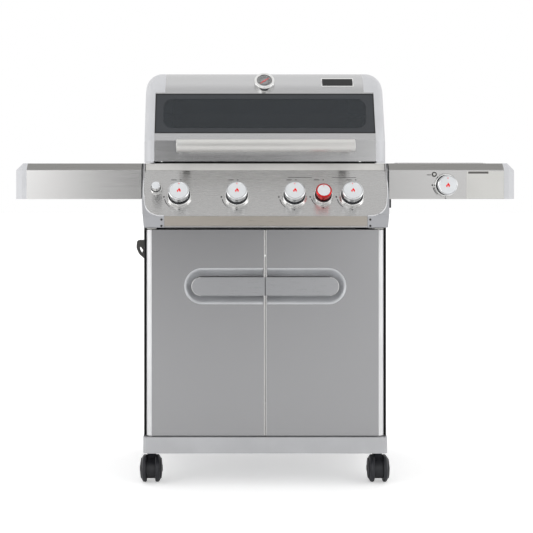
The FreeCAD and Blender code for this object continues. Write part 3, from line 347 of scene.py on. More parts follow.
# Paler, duller copy of the door steel: painted light that lightens the hand wells.
WELL_LIGHTENED = coated("well_painted_light", (0.62, 0.63, 0.65), 0.36, 0.55, 600, 0.02)
GRIP_STEEL = steel("grip_steel", (0.50, 0.505, 0.52), 0.30, "x", 0.8)
BASE_PAINT = coated("base_paint", (0.54, 0.545, 0.56), 0.38, 0.4)
# Darker copy of the silver casting: painted shade on the control panel's cast ends.
PANEL_SHADE_CASTING = coated("panel_cast_painted_shade", (0.425, 0.43, 0.45), 0.42, 0.2, 900, 0.10)
CASTING = coated("silver_casting", (0.65, 0.655, 0.675), 0.42, 0.1, 900, 0.10)
CABINET = coated("cabinet_paint", (0.035, 0.035, 0.038), 0.42, 0.0, 800, 0.12)
DARK_CAST = coated("dark_casting", (0.085, 0.083, 0.08), 0.45, 0.6, 600, 0.12)
FIREBOX = coated("firebox_casting", (0.03, 0.03, 0.032), 0.55, 0.2, 500, 0.18, 0.15)
GRATE = coated("grate_iron", (0.035, 0.034, 0.033), 0.5, 0.3, 500, 0.2, 0.2)
BURNER_STEEL = steel("burner_steel", (0.42, 0.39, 0.35), 0.36, "y", 0.3, 0.14)
TRAY_STEEL = coated("galvanised_steel", (0.42, 0.43, 0.44), 0.38, 0.9, 60, 0.05, 0.16)
BRASS = steel("brass", (0.62, 0.46, 0.22), 0.28, "x", 0.2, 0.08)
BEZEL = steel("bezel_chrome", (0.94, 0.94, 0.93), 0.22, "x", 0.0, 0.03, 0.004)
CHROME = steel("chrome", (0.80, 0.80, 0.79), 0.09, "x", 0.0, 0.03, 0.004)
HARDWARE = steel("zinc_hardware", (0.55, 0.55, 0.53), 0.28, "z", 0.0, 0.10)
RACK = steel("plated_wire", (0.55, 0.55, 0.55), 0.22, "x", 0.0, 0.08)
KNOB = steel("knob_satin", (0.70, 0.71, 0.72), 0.24, "z", 0.3, 0.04)
KNOB_FACE = coated("knob_face", (0.82, 0.84, 0.86), 0.34, 0.4, 1200, 0.05, 0.03)
BLACK_PLASTIC = coated("black_plastic", (0.018, 0.019, 0.023), 0.42, 0.0, 800, 0.12, 0.15)
WHEEL = coated("wheel_polymer", (0.022, 0.023, 0.028), 0.36, 0.0, 500, 0.10, 0.2)
# Near-black rubber for the window seal, the panel's seams and the dark strip under the lid; also painted shadow in
# the gaps beside the shelves and painted shade in the screw recesses.
BLACK_RUBBER_AND_SHADE = coated("rubber_and_painted_shade", (0.015, 0.015, 0.017), 0.6, 0.0, 700, 0.1, 0.1)
INK = coated("black_ink", (0.012, 0.012, 0.012), 0.5, 0.0, 900, 0.02)
RED_ENAMEL = coated("red_enamel", (0.95, 0.012, 0.010), 0.6, 0.0, 900, 0.02, 0.04, specular=0.1)
RED_ANODISED = steel("red_anodised", (0.62, 0.03, 0.03), 0.22, "z", 0.2, 0.06)
FRAME_PAINT = coated("frame_enamel", (0.16, 0.165, 0.17), 0.45, 0.2)
WINDOW = glass("window_glass", (0.030, 0.036, 0.042), 0.70)
WINDOW_PRINT = coated("window_print", (0.040, 0.044, 0.050), 0.16, 0.0, 500, 0.01, 0.05)
LENS = glass("gauge_lens", (0.6, 0.6, 0.6), 0.10, 0.02)
DIAL = coated("dial_face", (0.10, 0.105, 0.11), 0.5, 0.0, 600, 0.02)
DIAL_PALE = coated("dial_centre", (0.30, 0.30, 0.30), 0.45, 0.3, 600, 0.02)
LABEL_INK = coated("label_ink", (0.11, 0.105, 0.10), 0.45, 0.0, 900, 0.02)
MARK = coated("pale_print", (0.75, 0.75, 0.73), 0.5, 0.0, 700, 0.02)
FILM = coated("label_film", (0.66, 0.655, 0.63), 0.36, 0.0, 500, 0.02, 0.02, 0.2)

FINISHES = {
    "base_steel": BASE_PAINT, "dark_casting": DARK_CAST, "burner_steel": BURNER_STEEL,
    "cabinet_paint": CABINET, "panel_steel": PANEL_STEEL, "silver_casting": CASTING, "grate_iron": GRATE,
    "handle_steel": HANDLE_STEEL, "hardware": HARDWARE, "door_steel": DOOR_STEEL,
    "firebox_casting": FIREBOX, "gas_brass": BRASS, "tray_steel": TRAY_STEEL, "chrome": CHROME,
    "dark_plastic": BLACK_PLASTIC, "lid_steel": LID_STEEL, "window_glass": WINDOW,
    "frame_paint": FRAME_PAINT, "shelf_steel": SHELF_STEEL, "needle_red": RED_ENAMEL, "rack_chrome": RACK,
    "knob_metal": KNOB, "wheel_rubber": WHEEL,
}


def finish_cad_nodes():
    special = {"knob_broil": RED_ANODISED, "control_panel_end_left": PANEL_SHADE_CASTING,
               "control_panel_end_right": PANEL_SHADE_CASTING, "door_handle_left": GRIP_STEEL,
               "door_handle_right": GRIP_STEEL, "lid_handle_caps": HANDLE_STEEL, "knob_bezels": BEZEL}
    for part in frame["record"]["subparts"]:
        node = frame["nodes"][part["node"]]
        material = special.get(part["node"], FINISHES[part["material_slot"]])
        for slot in node.material_slots:
            slot.link = "OBJECT"
            slot.material = material


# ---- knobs, button and printed marks -------------------------------------------------------------

PRINT = 0.15 * MM


def knob_place(tag):
    joint = JOINTS[f"knob_{tag}_turn"]
    return Vector(joint["pos_m"]), Vector(joint["axis"])


def measured(node, origin, axis):
    """Largest radius and height of a turned CAD node about its axis."""
    heights = []
    radii = []
    for vertex in frame["nodes"][node].data.vertices:
        arm = vertex.co - origin
        height = arm.dot(axis)
        heights.append(height)
        radii.append((arm - axis * height).length)
    return max(radii), max(heights)


def grip_radius(node, origin, axis, low):
    """Radius of a knob's grip: the widest of what stands higher than low."""
    arms = [vertex.co - origin for vertex in frame["nodes"][node].data.vertices]
    return max((arm - axis * arm.dot(axis)).length for arm in arms if arm.dot(axis) > low)


FLAME = ((0.4, 7.0), (2.2, 4.4), (4.4, 1.6), (5.2, -2.0), (3.8, -5.0), (2.2, -5.9), (2.1, -3.4),
         (0.2, -0.6), (-1.7, -3.2), (-1.6, -5.9), (-3.9, -4.8), (-5.1, -1.8), (-3.6, 0.9), (-2.0, 1.6),
         (-0.8, 4.2))


def smooth_loop(points, steps=5):
    """A closed curve through the points."""
    count = len(points)
    result = []
    for index in range(count):
        a, b, c, e = (Vector(points[(index + shift) % count]) for shift in (-1, 0, 1, 2))
        for step in range(steps):
            t = step / steps
            result.append(tuple(0.5 * ((2 * b) + (c - a) * t + (2 * a - 5 * b + 4 * c - e) * t * t
                                       + (3 * b - a - 3 * c + e) * t ** 3)))
    return result


def make_knob_details(tag):
    origin, axis = knob_place(tag)
    height = measured(f"knob_{tag}", origin, axis)[1]
    radius = grip_radius(f"knob_{tag}", origin, axis, height - 10 * MM)
    body = f"knob_{tag}"
    face = height - 0.8 * MM
    small = tag == "broil"
    disc_r = radius - {"broil": 4.4, "side": 1.6}.get(tag, 4.6) * MM
    top = face + 0.5 * MM
    disc_profile = [(0, face - 0.2 * MM), (disc_r, face - 0.2 * MM), (disc_r, face + 0.25 * MM),
                    (disc_r - 0.5 * MM, face + 0.45 * MM), (0, top)]
    pieces = [lathe(f"knob_{tag}_face", disc_profile, KNOB_FACE)]
    pointer_y = radius - (7.5 if small else 8) * MM
    pointer = rounded(-0.8 * MM, 0.8 * MM, pointer_y - 2.2 * MM, pointer_y + 2.2 * MM, 0.7 * MM)
    pieces.append(slab(f"knob_{tag}_pointer", pointer, top - 0.1 * MM, top + PRINT, RED_ENAMEL))
    if not small:
        loop = smooth_loop([(x * MM, y * MM) for x, y in FLAME])
        pieces.append(slab(f"knob_{tag}_flame", loop[::-1], top - 0.1 * MM, top + PRINT, RED_ENAMEL))
    seat_r = radius + (0.7 if tag == "side" else 1.5) * MM
    skirt = closed_ring(f"knob_{tag}_seat", radius - 0.6 * MM, seat_r, 12.2 * MM, 14.2 * MM, BLACK_PLASTIC,
                        0.4 * MM)
    for piece in pieces:
        stand(piece, origin, axis)
        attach(piece, body)
    stand(skirt, origin, axis)
    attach(skirt, "cart")


def printed(name, outline, origin, axis):
    mark = slab(name, outline, 0.02 * MM, PRINT, INK)
    stand(mark, origin, axis)
    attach(mark, "cart")


# In mm about each knob: how far out the high dot, the arc and the low dot are, and the off dot's X.
USUAL_ORBITS = (41.8, 40.0, 39.9)
PRINT_ORBITS = {"broil": (34.7, 31.8, 33.2), "side": (36.0, 34.4, 35.6)}
USUAL_OFF = 2.7
OFF_MARKS = {"4": 14.0, "3": 6.0, "side": None}
OFF_LINE = 53.6 * MM                        # how high above a knob's middle the off dot stands


def make_knob_prints(tag):
    """Dots for off, high and low round a knob, and the arc that thins from high towards low."""
    origin, axis = knob_place(tag)
    high, arc, low = PRINT_ORBITS.get(tag, USUAL_ORBITS)
    printed(f"print_{tag}_high", circle(-high * MM, 0, 2.3 * MM), origin, axis)
    printed(f"print_{tag}_low", circle(0, -low * MM, 1.7 * MM), origin, axis)
    printed(f"print_{tag}_arc", arc_band(191, 231, arc * MM, 2.2 * MM, 0.9 * MM), origin, axis)
    off = OFF_MARKS.get(tag, USUAL_OFF)
    if off is None:
        return
    printed(f"print_{tag}_off", circle(off * MM, OFF_LINE, 1.6 * MM), origin, axis)
    dash = rounded((off - 26) * MM, (off - 11) * MM, OFF_LINE - 0.9 * MM, OFF_LINE + 0.9 * MM,
                   0.5 * MM, 3)
    printed(f"print_{tag}_dash", dash, origin, axis)


def make_panel_rules():
    """Two thin rules printed over the right-hand knobs."""
    origin, axis = knob_place("3")
    up = Vector((0, 0, 1)) - axis * axis.z
    height = (847 * MM - origin.z) / up.normalized().z
    for name, low, high in (("left", 62, 128), ("right", 184, 249)):
        low_x = low * MM - origin.x
        high_x = high * MM - origin.x
        printed(f"print_rule_{name}", [(low_x, height - 0.5 * MM), (high_x, height - 0.5 * MM),
                                       (high_x, height + 0.5 * MM), (low_x, height + 0.5 * MM)], origin, axis)


def make_button_details():
    joint = JOINTS["igniter_button_push"]
    outward = -Vector(joint["axis"])
    low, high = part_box("igniter_button")
    centre_x = (low.x + high.x) / 2
    knob_origin, _ = knob_place("1")
    slope = Vector((0, -outward.z, -outward.y))
    base = knob_origin + slope * ((814 * MM - knob_origin.z) / slope.z)
    origin = Vector((centre_x, base.y, base.z))
    seat = closed_ring("igniter_seat", 12.2 * MM, 13.4 * MM, 8 * MM, 12.5 * MM, BLACK_PLASTIC, 0.4 * MM)
    stand(seat, origin, outward)
    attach(seat, "cart")
    dish = lathe("igniter_dish", [(11.1 * MM, 22.0 * MM), (11.1 * MM, 23.4 * MM), (10.6 * MM, 24.3 * MM),
                                  (9.4 * MM, 24.85 * MM), (8.2 * MM, 25.15 * MM), (0, 25.15 * MM)], KNOB_FACE)
    stand(dish, origin, outward)
    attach(dish, "igniter_button")


# ---- control panel -------------------------------------------------------------------------------

FOLD = 743 * MM                             # height of the fold along the sloping face's foot


def plate(name, lows, highs, material, edge=0.4 * MM):
    """A block with eased edges between two corners."""
    (x0, y0, z0), (x1, y1, z1) = lows, highs
    block = slab(name, [(x0, y0), (x1, y0), (x1, y1), (x0, y1)], z0, z1, material)
    bevel(block, edge)
    return block


def make_lower_strip():
    """The separate steel strip along the foot of the panel, with its folded hem."""
    low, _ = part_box("control_panel")
    half = 273.2 * MM
    strip = plate("panel_lower_strip", (-half, low.y - 0.55 * MM, low.z + 4.4 * MM),
                  (half, low.y + 0.2 * MM, FOLD - 0.5 * MM), STRIP_STEEL, 0.3 * MM)
    hem = plate("panel_hem", (-half, low.y - 1.1 * MM, low.z + 0.2 * MM),
                (half, low.y + 0.2 * MM, low.z + 3.8 * MM), PANEL_STEEL, 0.8 * MM)
    for piece in (strip, hem):
        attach(piece, "cart")


def make_screw(name, origin, axis, body, radius=3.4, material=None):
    """Domed screw head; its cross recess is not cut but painted as shade, a smaller dark cross standing on it."""
    head = lathe(name, [(0, 0), (radius * MM, 0), (radius * MM, 0.5 * MM), (radius * 0.8 * MM, 1.3 * MM),
                        (radius * 0.4 * MM, 1.7 * MM), (0, 1.8 * MM)], material or HARDWARE, 24)
    arm, long_arm = 0.28 * radius * MM, 0.62 * radius * MM
    cross_outline = [(arm / 2, arm / 2), (arm / 2, long_arm), (-arm / 2, long_arm), (-arm / 2, arm / 2),
                     (-long_arm, arm / 2), (-long_arm, -arm / 2), (-arm / 2, -arm / 2), (-arm / 2, -long_arm),
                     (arm / 2, -long_arm), (arm / 2, -arm / 2), (long_arm, -arm / 2), (long_arm, arm / 2)]
    cross = slab(name + "_recess", cross_outline, 1.2 * MM, 1.85 * MM, BLACK_RUBBER_AND_SHADE)
    for piece in (head, cross):
        stand(piece, origin, axis)
        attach(piece, body)


def make_panel_screws():
    low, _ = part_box("control_panel_end_right")
    for side_name, side in SIDES:
        for level, z in (("low", 716.5), ("high", 733.5)):
            place = (side * 280.5 * MM, low.y + 1.3 * MM, z * MM)
            make_screw(f"panel_screw_{side_name}_{level}", place, (0, -1, 0), "cart", 2.9, material=DARK_CAST)


def make_panel_band():
    """Band along the panel's top, standing a little in front of its fold, in a paler, duller copy of the panel
    steel: a painted highlight.
    """
    half = 329 * MM
    section = [(19.6, 866.5), (24.6, 885.7), (32.6, 885.7), (20.8, 867.2)]
    verts = [(x, FRONT + y * MM, z * MM) for x in (-half, half) for y, z in section]
    faces = [(0, 1, 5, 4), (1, 2, 6, 5), (2, 3, 7, 6), (3, 0, 4, 7), (3, 2, 1, 0), (4, 5, 6, 7)]
    band = add_mesh("panel_band", verts, faces, BAND_HIGHLIGHT)
    bevel(band, 0.3 * MM)
    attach(band, "cart")


def make_casting_ridge():
    """Raised ridge along the inner edge of each cast corner piece, round its sweeping corner; its bright steel is
    a painted highlight.
    """
    origin, axis = knob_place("1")
    up = Vector((0, axis.z, -axis.y))
    foot = origin + up * ((FOLD - origin.z) / up.z)
    corner_x, corner_y, radius = 283.7, 43.0, 43.4
    edge_x, proud = 332.8, 2.2
    turns = [math.radians(angle) for angle in range(5, 86, 5)]
    flat = [(274.0, -0.4)]
    flat += [(corner_x + radius * math.sin(turn), corner_y - radius * math.cos(turn)) for turn in turns]
    flat += [(329.0, 52.0), (331.0, 66.0), (332.3, 86.0), (edge_x, 110.0), (edge_x, 140.0)]
    for side_name, side in SIDES:
        path = [Vector((side * x * MM, foot.y, foot.z)) + up * (y * MM) + axis * proud * MM for x, y in flat]
        path.append(Vector((side * edge_x * MM, FRONT + 29 * MM, 884.4 * MM)))
        ridge = wire(f"panel_ridge_{side_name}", path, 2.0 * MM, RIDGE_HIGHLIGHT)
        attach(ridge, "cart")
        inward = Vector((side * -2.6 * MM, 0.5 * MM, 0))
        seam = wire(f"panel_seam_{side_name}", [path[-1] + inward, path[-2] + inward], 0.9 * MM, BLACK_RUBBER_AND_SHADE)
        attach(seam, "cart")


def make_lid_gap_strip():
    """Dark strip in the gap under the lid, between pale lips under the lid's cast ends."""
    _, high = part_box("control_panel")
    reach = 305 * MM
    seal = plate("lid_gap_dark_strip", (-reach, high.y - 18 * MM, high.z - 0.2 * MM),
                 (reach, high.y - 12 * MM, high.z + 4.6 * MM), BLACK_RUBBER_AND_SHADE, 0.8 * MM)
    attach(seal, "cart")
    for side_name, side in SIDES:
        low_x, high_x = sorted((side * (reach + 2 * MM), side * (reach + 26 * MM)))
        lip = plate(f"lid_end_lip_{side_name}", (low_x, FRONT + 19 * MM, high.z + 1.2 * MM),
                    (high_x, FRONT + 31 * MM, high.z + 5.6 * MM), CASTING, 0.8 * MM)
        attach(lip, "lid")


# ---- shelves -------------------------------------------------------------------------------------

BEVEL_MIDDLE = Vector((0, FRONT + 9.5 * MM, 876.5 * MM))    # on the shelves' sloping front edges
BEVEL_NORMAL = (0, -1, 1)
BEVEL_HALF = 12.2 * MM


def make_shelf_details():
    """Blank label film with a plain bar, a printed dash and an igniter ring, all on the right shelf."""
    film_outline = rounded(550 * MM, 652 * MM, 789.5 * MM, 864.5 * MM, 1.5 * MM)
    film = slab("shelf_label_film", film_outline, 0, 0.2 * MM, FILM)
    film.matrix_world = Matrix.Translation((0, FRONT, 0)) @ Matrix.Rotation(math.pi / 2, 4, "X")
    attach(film, "cart")
    bar_outline = rounded(555 * MM, 610 * MM, 857.5 * MM, 863.2 * MM, 0.6 * MM)
    bar = slab("shelf_label_bar", bar_outline, 0.2 * MM, 0.3 * MM, LABEL_INK)
    bar.matrix_world = film.matrix_world
    dash_outline = rounded(441.7 * MM, 453.4 * MM, 853 * MM, 855.2 * MM, 0.6 * MM)
    dash = slab("shelf_print_dash", dash_outline, 0.02 * MM, PRINT, LABEL_INK)
    dash.matrix_world = film.matrix_world
    for piece in (bar, dash):
        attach(piece, "cart")
    ring = closed_ring("shelf_igniter_ring", 3.4 * MM, 6.9 * MM, 0, 1.8 * MM, DARK_CAST, 0.5 * MM, 48)
    cap_profile = [(0, 0), (3.5 * MM, 0), (3.5 * MM, 2.4 * MM), (2.9 * MM, 3.0 * MM), (0, 3.2 * MM)]
    core = lathe("shelf_igniter_cap", cap_profile, FILM, 48)
    for piece in (ring, core):
        stand(piece, (462 * MM, FRONT, 855.4 * MM), (0, -1, 0))
        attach(piece, "cart")


def make_shelf_shades_and_sleeve():
    """Dark strips between the panel's castings and the shelves, painted shadow in the gaps there, and a rubber
    sleeve on the right-hand lug.
    """
    for side_name, side in SIDES:
        xs = sorted((side * 335.2 * MM, side * 338.8 * MM))
        upright = plate(f"shelf_gap_shade_{side_name}", (xs[0], FRONT - 0.6 * MM, 790 * MM),
                        (xs[1], FRONT + 0.2 * MM, 867 * MM), BLACK_RUBBER_AND_SHADE, 0.1 * MM)
        outline = [(xs[0], -BEVEL_HALF - 0.2 * MM), (xs[1], -BEVEL_HALF - 0.2 * MM), (xs[1], BEVEL_HALF),
                   (xs[0], BEVEL_HALF)]
        slope = slab(f"shelf_gap_shade_{side_name}_bevel", outline, 0.05 * MM, 0.6 * MM, BLACK_RUBBER_AND_SHADE)
        stand(slope, BEVEL_MIDDLE, BEVEL_NORMAL)
        for piece in (upright, slope):
            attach(piece, "cart")
    sleeve = plate("shelf_lug_sleeve", (335.4 * MM, FRONT + 23.5 * MM, 763.6 * MM),
                   (347.5 * MM, FRONT + 56.5 * MM, 787.6 * MM), BLACK_PLASTIC, 1.0 * MM)
    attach(sleeve, "cart")


def make_shelf_bevels():
    """Satin skins over the sloping front edges of both shelves, in a darker copy of the shelf steel: painted
    shade.
    """
    for side_name in ("left", "right"):
        low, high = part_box(f"shelf_{side_name}")
        length = high.x - low.x
        half = length / 2 - 0.6 * MM
        outline = rounded(-half, half, -BEVEL_HALF, BEVEL_HALF, 0.5 * MM, 2)
        skin = slab(f"shelf_{side_name}_bevel", outline, 0.02 * MM, 0.2 * MM, BEVEL_SHADE_STEEL)
        stand(skin, BEVEL_MIDDLE + Vector(((low.x + high.x) / 2, 0, 0)), BEVEL_NORMAL)
        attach(skin, "cart")


def make_side_lid_details():
    """A raised bead pressed round the side burner's lid."""
    low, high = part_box("side_burner_lid")
    top = min(high.z, 888.7 * MM)
    outer = rounded(low.x + 18 * MM, high.x - 18 * MM, low.y + 20 * MM, low.y + 284 * MM, 10 * MM)
    inner = rounded(low.x + 22 * MM, high.x - 22 * MM, low.y + 24 * MM, low.y + 280 * MM, 7 * MM)
    bead = framed_slab("side_lid_bead", outer, inner, top - 0.3 * MM, top + 0.7 * MM, SHELF_STEEL)
    bevel(bead, 0.4 * MM)
    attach(bead, "side_burner_lid")


# ---- lid -----------------------------------------------------------------------------------------

LID_LOW, LID_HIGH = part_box("lid_skin")
LID_SLOPE = math.radians(21.5)
CREASE = 949 * MM
ROLL = 88 * MM


def on_slope(piece, lift=0.0):
    """Stand a piece on the lid's sloping front, its Y running up the slope from the crease."""
    normal = Vector((0, -math.cos(LID_SLOPE), math.sin(LID_SLOPE)))
    return stand(piece, Vector((0, LID_LOW.y, CREASE)) + normal * lift, normal)


def make_window_seal():
    glass_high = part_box("lid_window")[1]
    half = glass_high.x + 1.3 * MM
    low_s, high_s = 21.7 * MM, 143.3 * MM
    outer = rounded(-half, half, low_s, high_s, 3 * MM)
    inner = rounded(-half + 3.2 * MM, half - 3.2 * MM, low_s + 3.0 * MM, high_s - 3.0 * MM, 4 * MM)
    seal = framed_slab("window_seal", outer, inner, -4.4 * MM, 0.1 * MM, BLACK_RUBBER_AND_SHADE)
    bevel(seal, 0.3 * MM)
    on_slope(seal)
    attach(seal, "lid")


def make_window_border():
    """Dark print round the window's inner face, with round inner corners."""
    glass_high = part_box("lid_window")[1]
    half = glass_high.x - 0.5 * MM
    outer = rounded(-half, half, 25.5 * MM, 140 * MM, 2 * MM)
    inner = rounded(-281.5 * MM, 281.5 * MM, 37.5 * MM, 127.5 * MM, 26 * MM)
    border = framed_slab("window_print", outer, inner, -0.48 * MM, -0.40 * MM, WINDOW_PRINT)
    on_slope(border)
    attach(border, "lid")


def roll_centre():
    run = (LID_HIGH.z - CREASE) * math.tan(LID_SLOPE)
    return Vector((0, LID_LOW.y + run + ROLL * math.tan((math.pi / 2 - LID_SLOPE) / 2), LID_HIGH.z - ROLL))


def curved_plate(name, low_x, high_x, low_angle, high_angle, lift, thick, material, round_r=2.5):
    """A thin plate that follows the lid's roll; angles in degrees above the horizon."""
    centre = roll_centre()
    middle = math.radians((low_angle + high_angle) / 2)
    reach = (ROLL + lift) * math.radians(high_angle - low_angle) / 2
    outline = rounded(low_x, high_x, -reach, reach, round_r * MM, 6)
    verts = []
    for level in (lift, lift + thick):
        for x, along in outline:
            angle = middle + along / (ROLL + lift)
            radius = ROLL + level
            verts.append((x, centre.y - radius * math.cos(angle), centre.z + radius * math.sin(angle)))
    count = len(outline)
    faces = [(i, (i + 1) % count, count + (i + 1) % count, count + i) for i in range(count)]
    rows = count // 2
    for i in range(rows - 1):
        a, b, c, e = i, i + 1, count - 2 - i, count - 1 - i
        if b < c:
            faces.append((e, c, b, a))
            faces.append((count + a, count + b, count + c, count + e))
    return add_mesh(name, verts, faces, material)


def make_badge():
    """A blank badge plate on the lid's roll: a dark field in a pale rim, with no lettering."""
    rim = curved_plate("badge_rim", 160 * MM, 251 * MM, 31, 53.5, -0.2 * MM, 1.6 * MM, CHROME)
    field = curved_plate("badge_field", 163 * MM, 248 * MM, 34, 50.5, 1.2 * MM, 0.6 * MM, INK, round_r=1.5)
    for piece in (rim, field):
        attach(piece, "lid")


def make_gauge_details():
    joint = JOINTS["needle_turn"]
    origin, axis = Vector(joint["pos_m"]), Vector(joint["axis"])
    ring = closed_ring("gauge_dial", 1.6 * MM, 20.9 * MM, 12.0 * MM, 12.25 * MM, DIAL)
    pale = closed_ring("gauge_centre", 1.6 * MM, 11.5 * MM, 12.2 * MM, 12.32 * MM, DIAL_PALE)
    lens_profile = [(0, 14.7 * MM), (21.3 * MM, 14.6 * MM), (21.3 * MM, 15.2 * MM), (14 * MM, 15.9 * MM),
                    (0, 16.3 * MM)]
    lens = lathe("gauge_lens", lens_profile, LENS)
    pieces = [ring, pale, lens]
    first, last, count = -50, 230, 15
    for index in range(count):
        turn = math.radians(first + (last - first) * index / (count - 1))
        major = index % 2 == 0
        inner, outer = (13.2 if major else 15.0) * MM, 17.2 * MM
        half = (0.55 if major else 0.3) * MM
        outline = [(inner, -half), (outer, -half), (outer, half), (inner, half)]
        turned = [(x * math.cos(turn) - y * math.sin(turn), x * math.sin(turn) + y * math.cos(turn))
                  for x, y in outline]
        pieces.append(slab(f"gauge_tick_{index:02d}", turned, 12.2 * MM, 12.38 * MM, MARK))
    scale = arc_band(first, last, 18.4 * MM, 0.6 * MM, 0.6 * MM, 48)
    pieces.append(slab("gauge_scale", scale, 12.2 * MM, 12.36 * MM, MARK))
    for piece in pieces:
        stand(piece, origin, axis)
        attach(piece, "lid")


# ---- doors, base and casters ---------------------------------------------------------------------

def make_door_edges():
    """Folded edges of each door, with painted highlights: a narrow bright strip at the seam and a bright, pale
    rolled sheath beside the cabinet.
    """
    for side_name, side in SIDES:
        low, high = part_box(f"door_{side_name}")
        inner, outer = sorted((abs(low.x), abs(high.x)))
        xs = sorted((side * inner, side * (inner + 1.8 * MM)))
        seam = plate(f"door_{side_name}_seam_edge", (xs[0], low.y - 0.9 * MM, low.z + 0.5 * MM),
                     (xs[1], low.y + 0.1 * MM, high.z - 0.5 * MM), EDGE_HIGHLIGHT, 0.7 * MM)
        roll = slab(f"door_{side_name}_outer_edge", outer_corner(side, outer, low.y),
                    low.z + 0.5 * MM, high.z - 0.5 * MM, ROLLED_HIGHLIGHT)
        for edge in (seam, roll):
            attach(edge, f"door_{side_name}")


def outer_corner(side, outer, face_y):
    """Outline of a thin sheath round a door's outer corner, which turns about the hinge pin."""
    radius, thick, lead = 13.0 * MM, 0.15 * MM, 1.5 * MM
    centre_x, centre_y = outer - radius, face_y + radius
    angles = [math.radians(angle) for angle in range(0, 91, 6)]
    outline = [(centre_x - lead, face_y - thick)]
    for reach, turn in ((radius + thick, angles), (radius - thick, angles[::-1])):
        outline += [(centre_x + reach * math.sin(a), centre_y - reach * math.cos(a)) for a in turn]
    outline.append((centre_x - lead, face_y + thick))
    outline = [(side * x, y) for x, y in outline]
    return outline if side > 0 else outline[::-1]


def make_well_liner():
    """Pressed dish in each door's hand well: it rolls in from the door's face to the well's floor. Its paler,
    duller steel is painted light in the well.
    """
    rim_r, floor_r, start_x = 50.0, 27.0, 5.7
    for side_name, side in SIDES:
        low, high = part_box(f"door_handle_{side_name}")
        door_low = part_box(f"door_{side_name}")[0]
        middle = (low.z + high.z) / 2
        centre_x = 173.0
        rows = 14
        verts = []
        for row in range(rows + 1):
            share = row / rows
            radius = rim_r - 0.2 + (floor_r - rim_r) * share
            depth = 0.2 + 14.4 * share * share * (3 - 2 * share)
            loop = [(start_x, radius), (60.0, radius), (120.0, radius)]
            loop += [(centre_x + radius * math.sin(math.radians(a)), radius * math.cos(math.radians(a)))
                     for a in range(0, 181, 6)]
            loop += [(120.0, -radius), (60.0, -radius), (start_x, -radius)]
            verts += [(side * x * MM, door_low.y + depth * MM, middle + z * MM) for x, z in loop]
        count = len(verts) // (rows + 1)
        faces = []
        for row in range(rows):
            for step in range(count - 1):
                a = row * count + step
                quad = (a, a + 1, a + count + 1, a + count)
                faces.append(quad if side < 0 else quad[::-1])
        liner = add_mesh(f"door_{side_name}_well_liner", verts, faces, WELL_LIGHTENED, True)
        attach(liner, f"door_{side_name}")
        # Thin bright wire round each grip's round end: a painted highlight on its edge.
        arc = [(side * (177 + 24.6 * math.sin(math.radians(a))) * MM, low.y + 0.3 * MM,
                middle + 24.6 * math.cos(math.radians(a)) * MM) for a in range(0, 181, 10)]
        rim = wire(f"door_handle_{side_name}_rim", arc, 0.6 * MM, EDGE_HIGHLIGHT)
        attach(rim, f"door_{side_name}")


def make_caster_details():
    """A hub cap in a dark groove on both wheels of every caster."""
    for end in ("front", "rear"):
        for side_name in ("left", "right"):
            tag = f"caster_{end}_{side_name}"
            centre = Vector(JOINTS[f"{tag}_roll"]["pos_m"])
            for wheel, direction in (("left", -1), ("right", 1)):
                cap = lathe(f"{tag}_cap_{wheel}", [(0, 28 * MM), (9 * MM, 28 * MM), (9 * MM, 31.0 * MM),
                                                   (8 * MM, 31.7 * MM), (0, 31.9 * MM)], BLACK_PLASTIC, 40)
                stand(cap, centre, (direction, 0, 0))
                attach(cap, f"{tag}_wheels")
                groove = closed_ring(f"{tag}_groove_{wheel}", 27 * MM, 28 * MM, 26.8 * MM, 28.3 * MM, BLACK_RUBBER_AND_SHADE,
                                     0.2 * MM)
                stand(groove, centre, (direction, 0, 0))
                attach(groove, f"{tag}_wheels")


# ---- stage, light and camera ---------------------------------------------------------------------

def make_stage():
    material, tree, shader = start_material("studio_floor")
    shade = noise(tree, 1.5, (1, 1, 1), 3.0, 0.5)
    tree.links.new(mixed(tree, shade, (0.90, 0.90, 0.90), (0.93, 0.93, 0.93)), shader.inputs["Base Color"])
    shader.inputs["Roughness"].default_value = 0.8
    shader.inputs["Specular IOR Level"].default_value = 0.0
    path = tree.nodes.new("ShaderNodeLightPath")
    glow = tree.nodes.new("ShaderNodeMath")
    glow.operation = "MULTIPLY"
    glow.inputs[1].default_value = 0.42
    tree.links.new(path.outputs["Is Camera Ray"], glow.inputs[0])
    shader.inputs["Emission Color"].default_value = (1, 1, 1, 1)
    tree.links.new(glow.outputs[0], shader.inputs["Emission Strength"])
    reach = 30
    corners = [(-reach, -reach, 0), (reach, -reach, 0), (reach, reach, 0), (-reach, reach, 0)]
    floor = add_mesh("studio_floor", corners, [(0, 1, 2, 3)], material)


BRIGHTEST = 4.0                             # a ramp's own colours stop at 1


LOW_LIGHT = ((-3.0, 1.9), (-1.3, 1.1), (-0.6, 0.9), (-0.24, 2.3), (-0.18, 2.2), (-0.14, 0.8),
             (-0.10, 0.15), (-0.04, 0.02), (0.04, 0.14), (0.11, 0.5), (0.20, 1.4), (0.27, 0.7),
             (0.6, 0.8), (1.3, 1.1), (3.0, 1.9))
HIGH_LIGHT = ((0.0, 0.55), (0.45, 0.66), (0.7, 0.76), (0.87, 0.76), (1.0, 1.0))


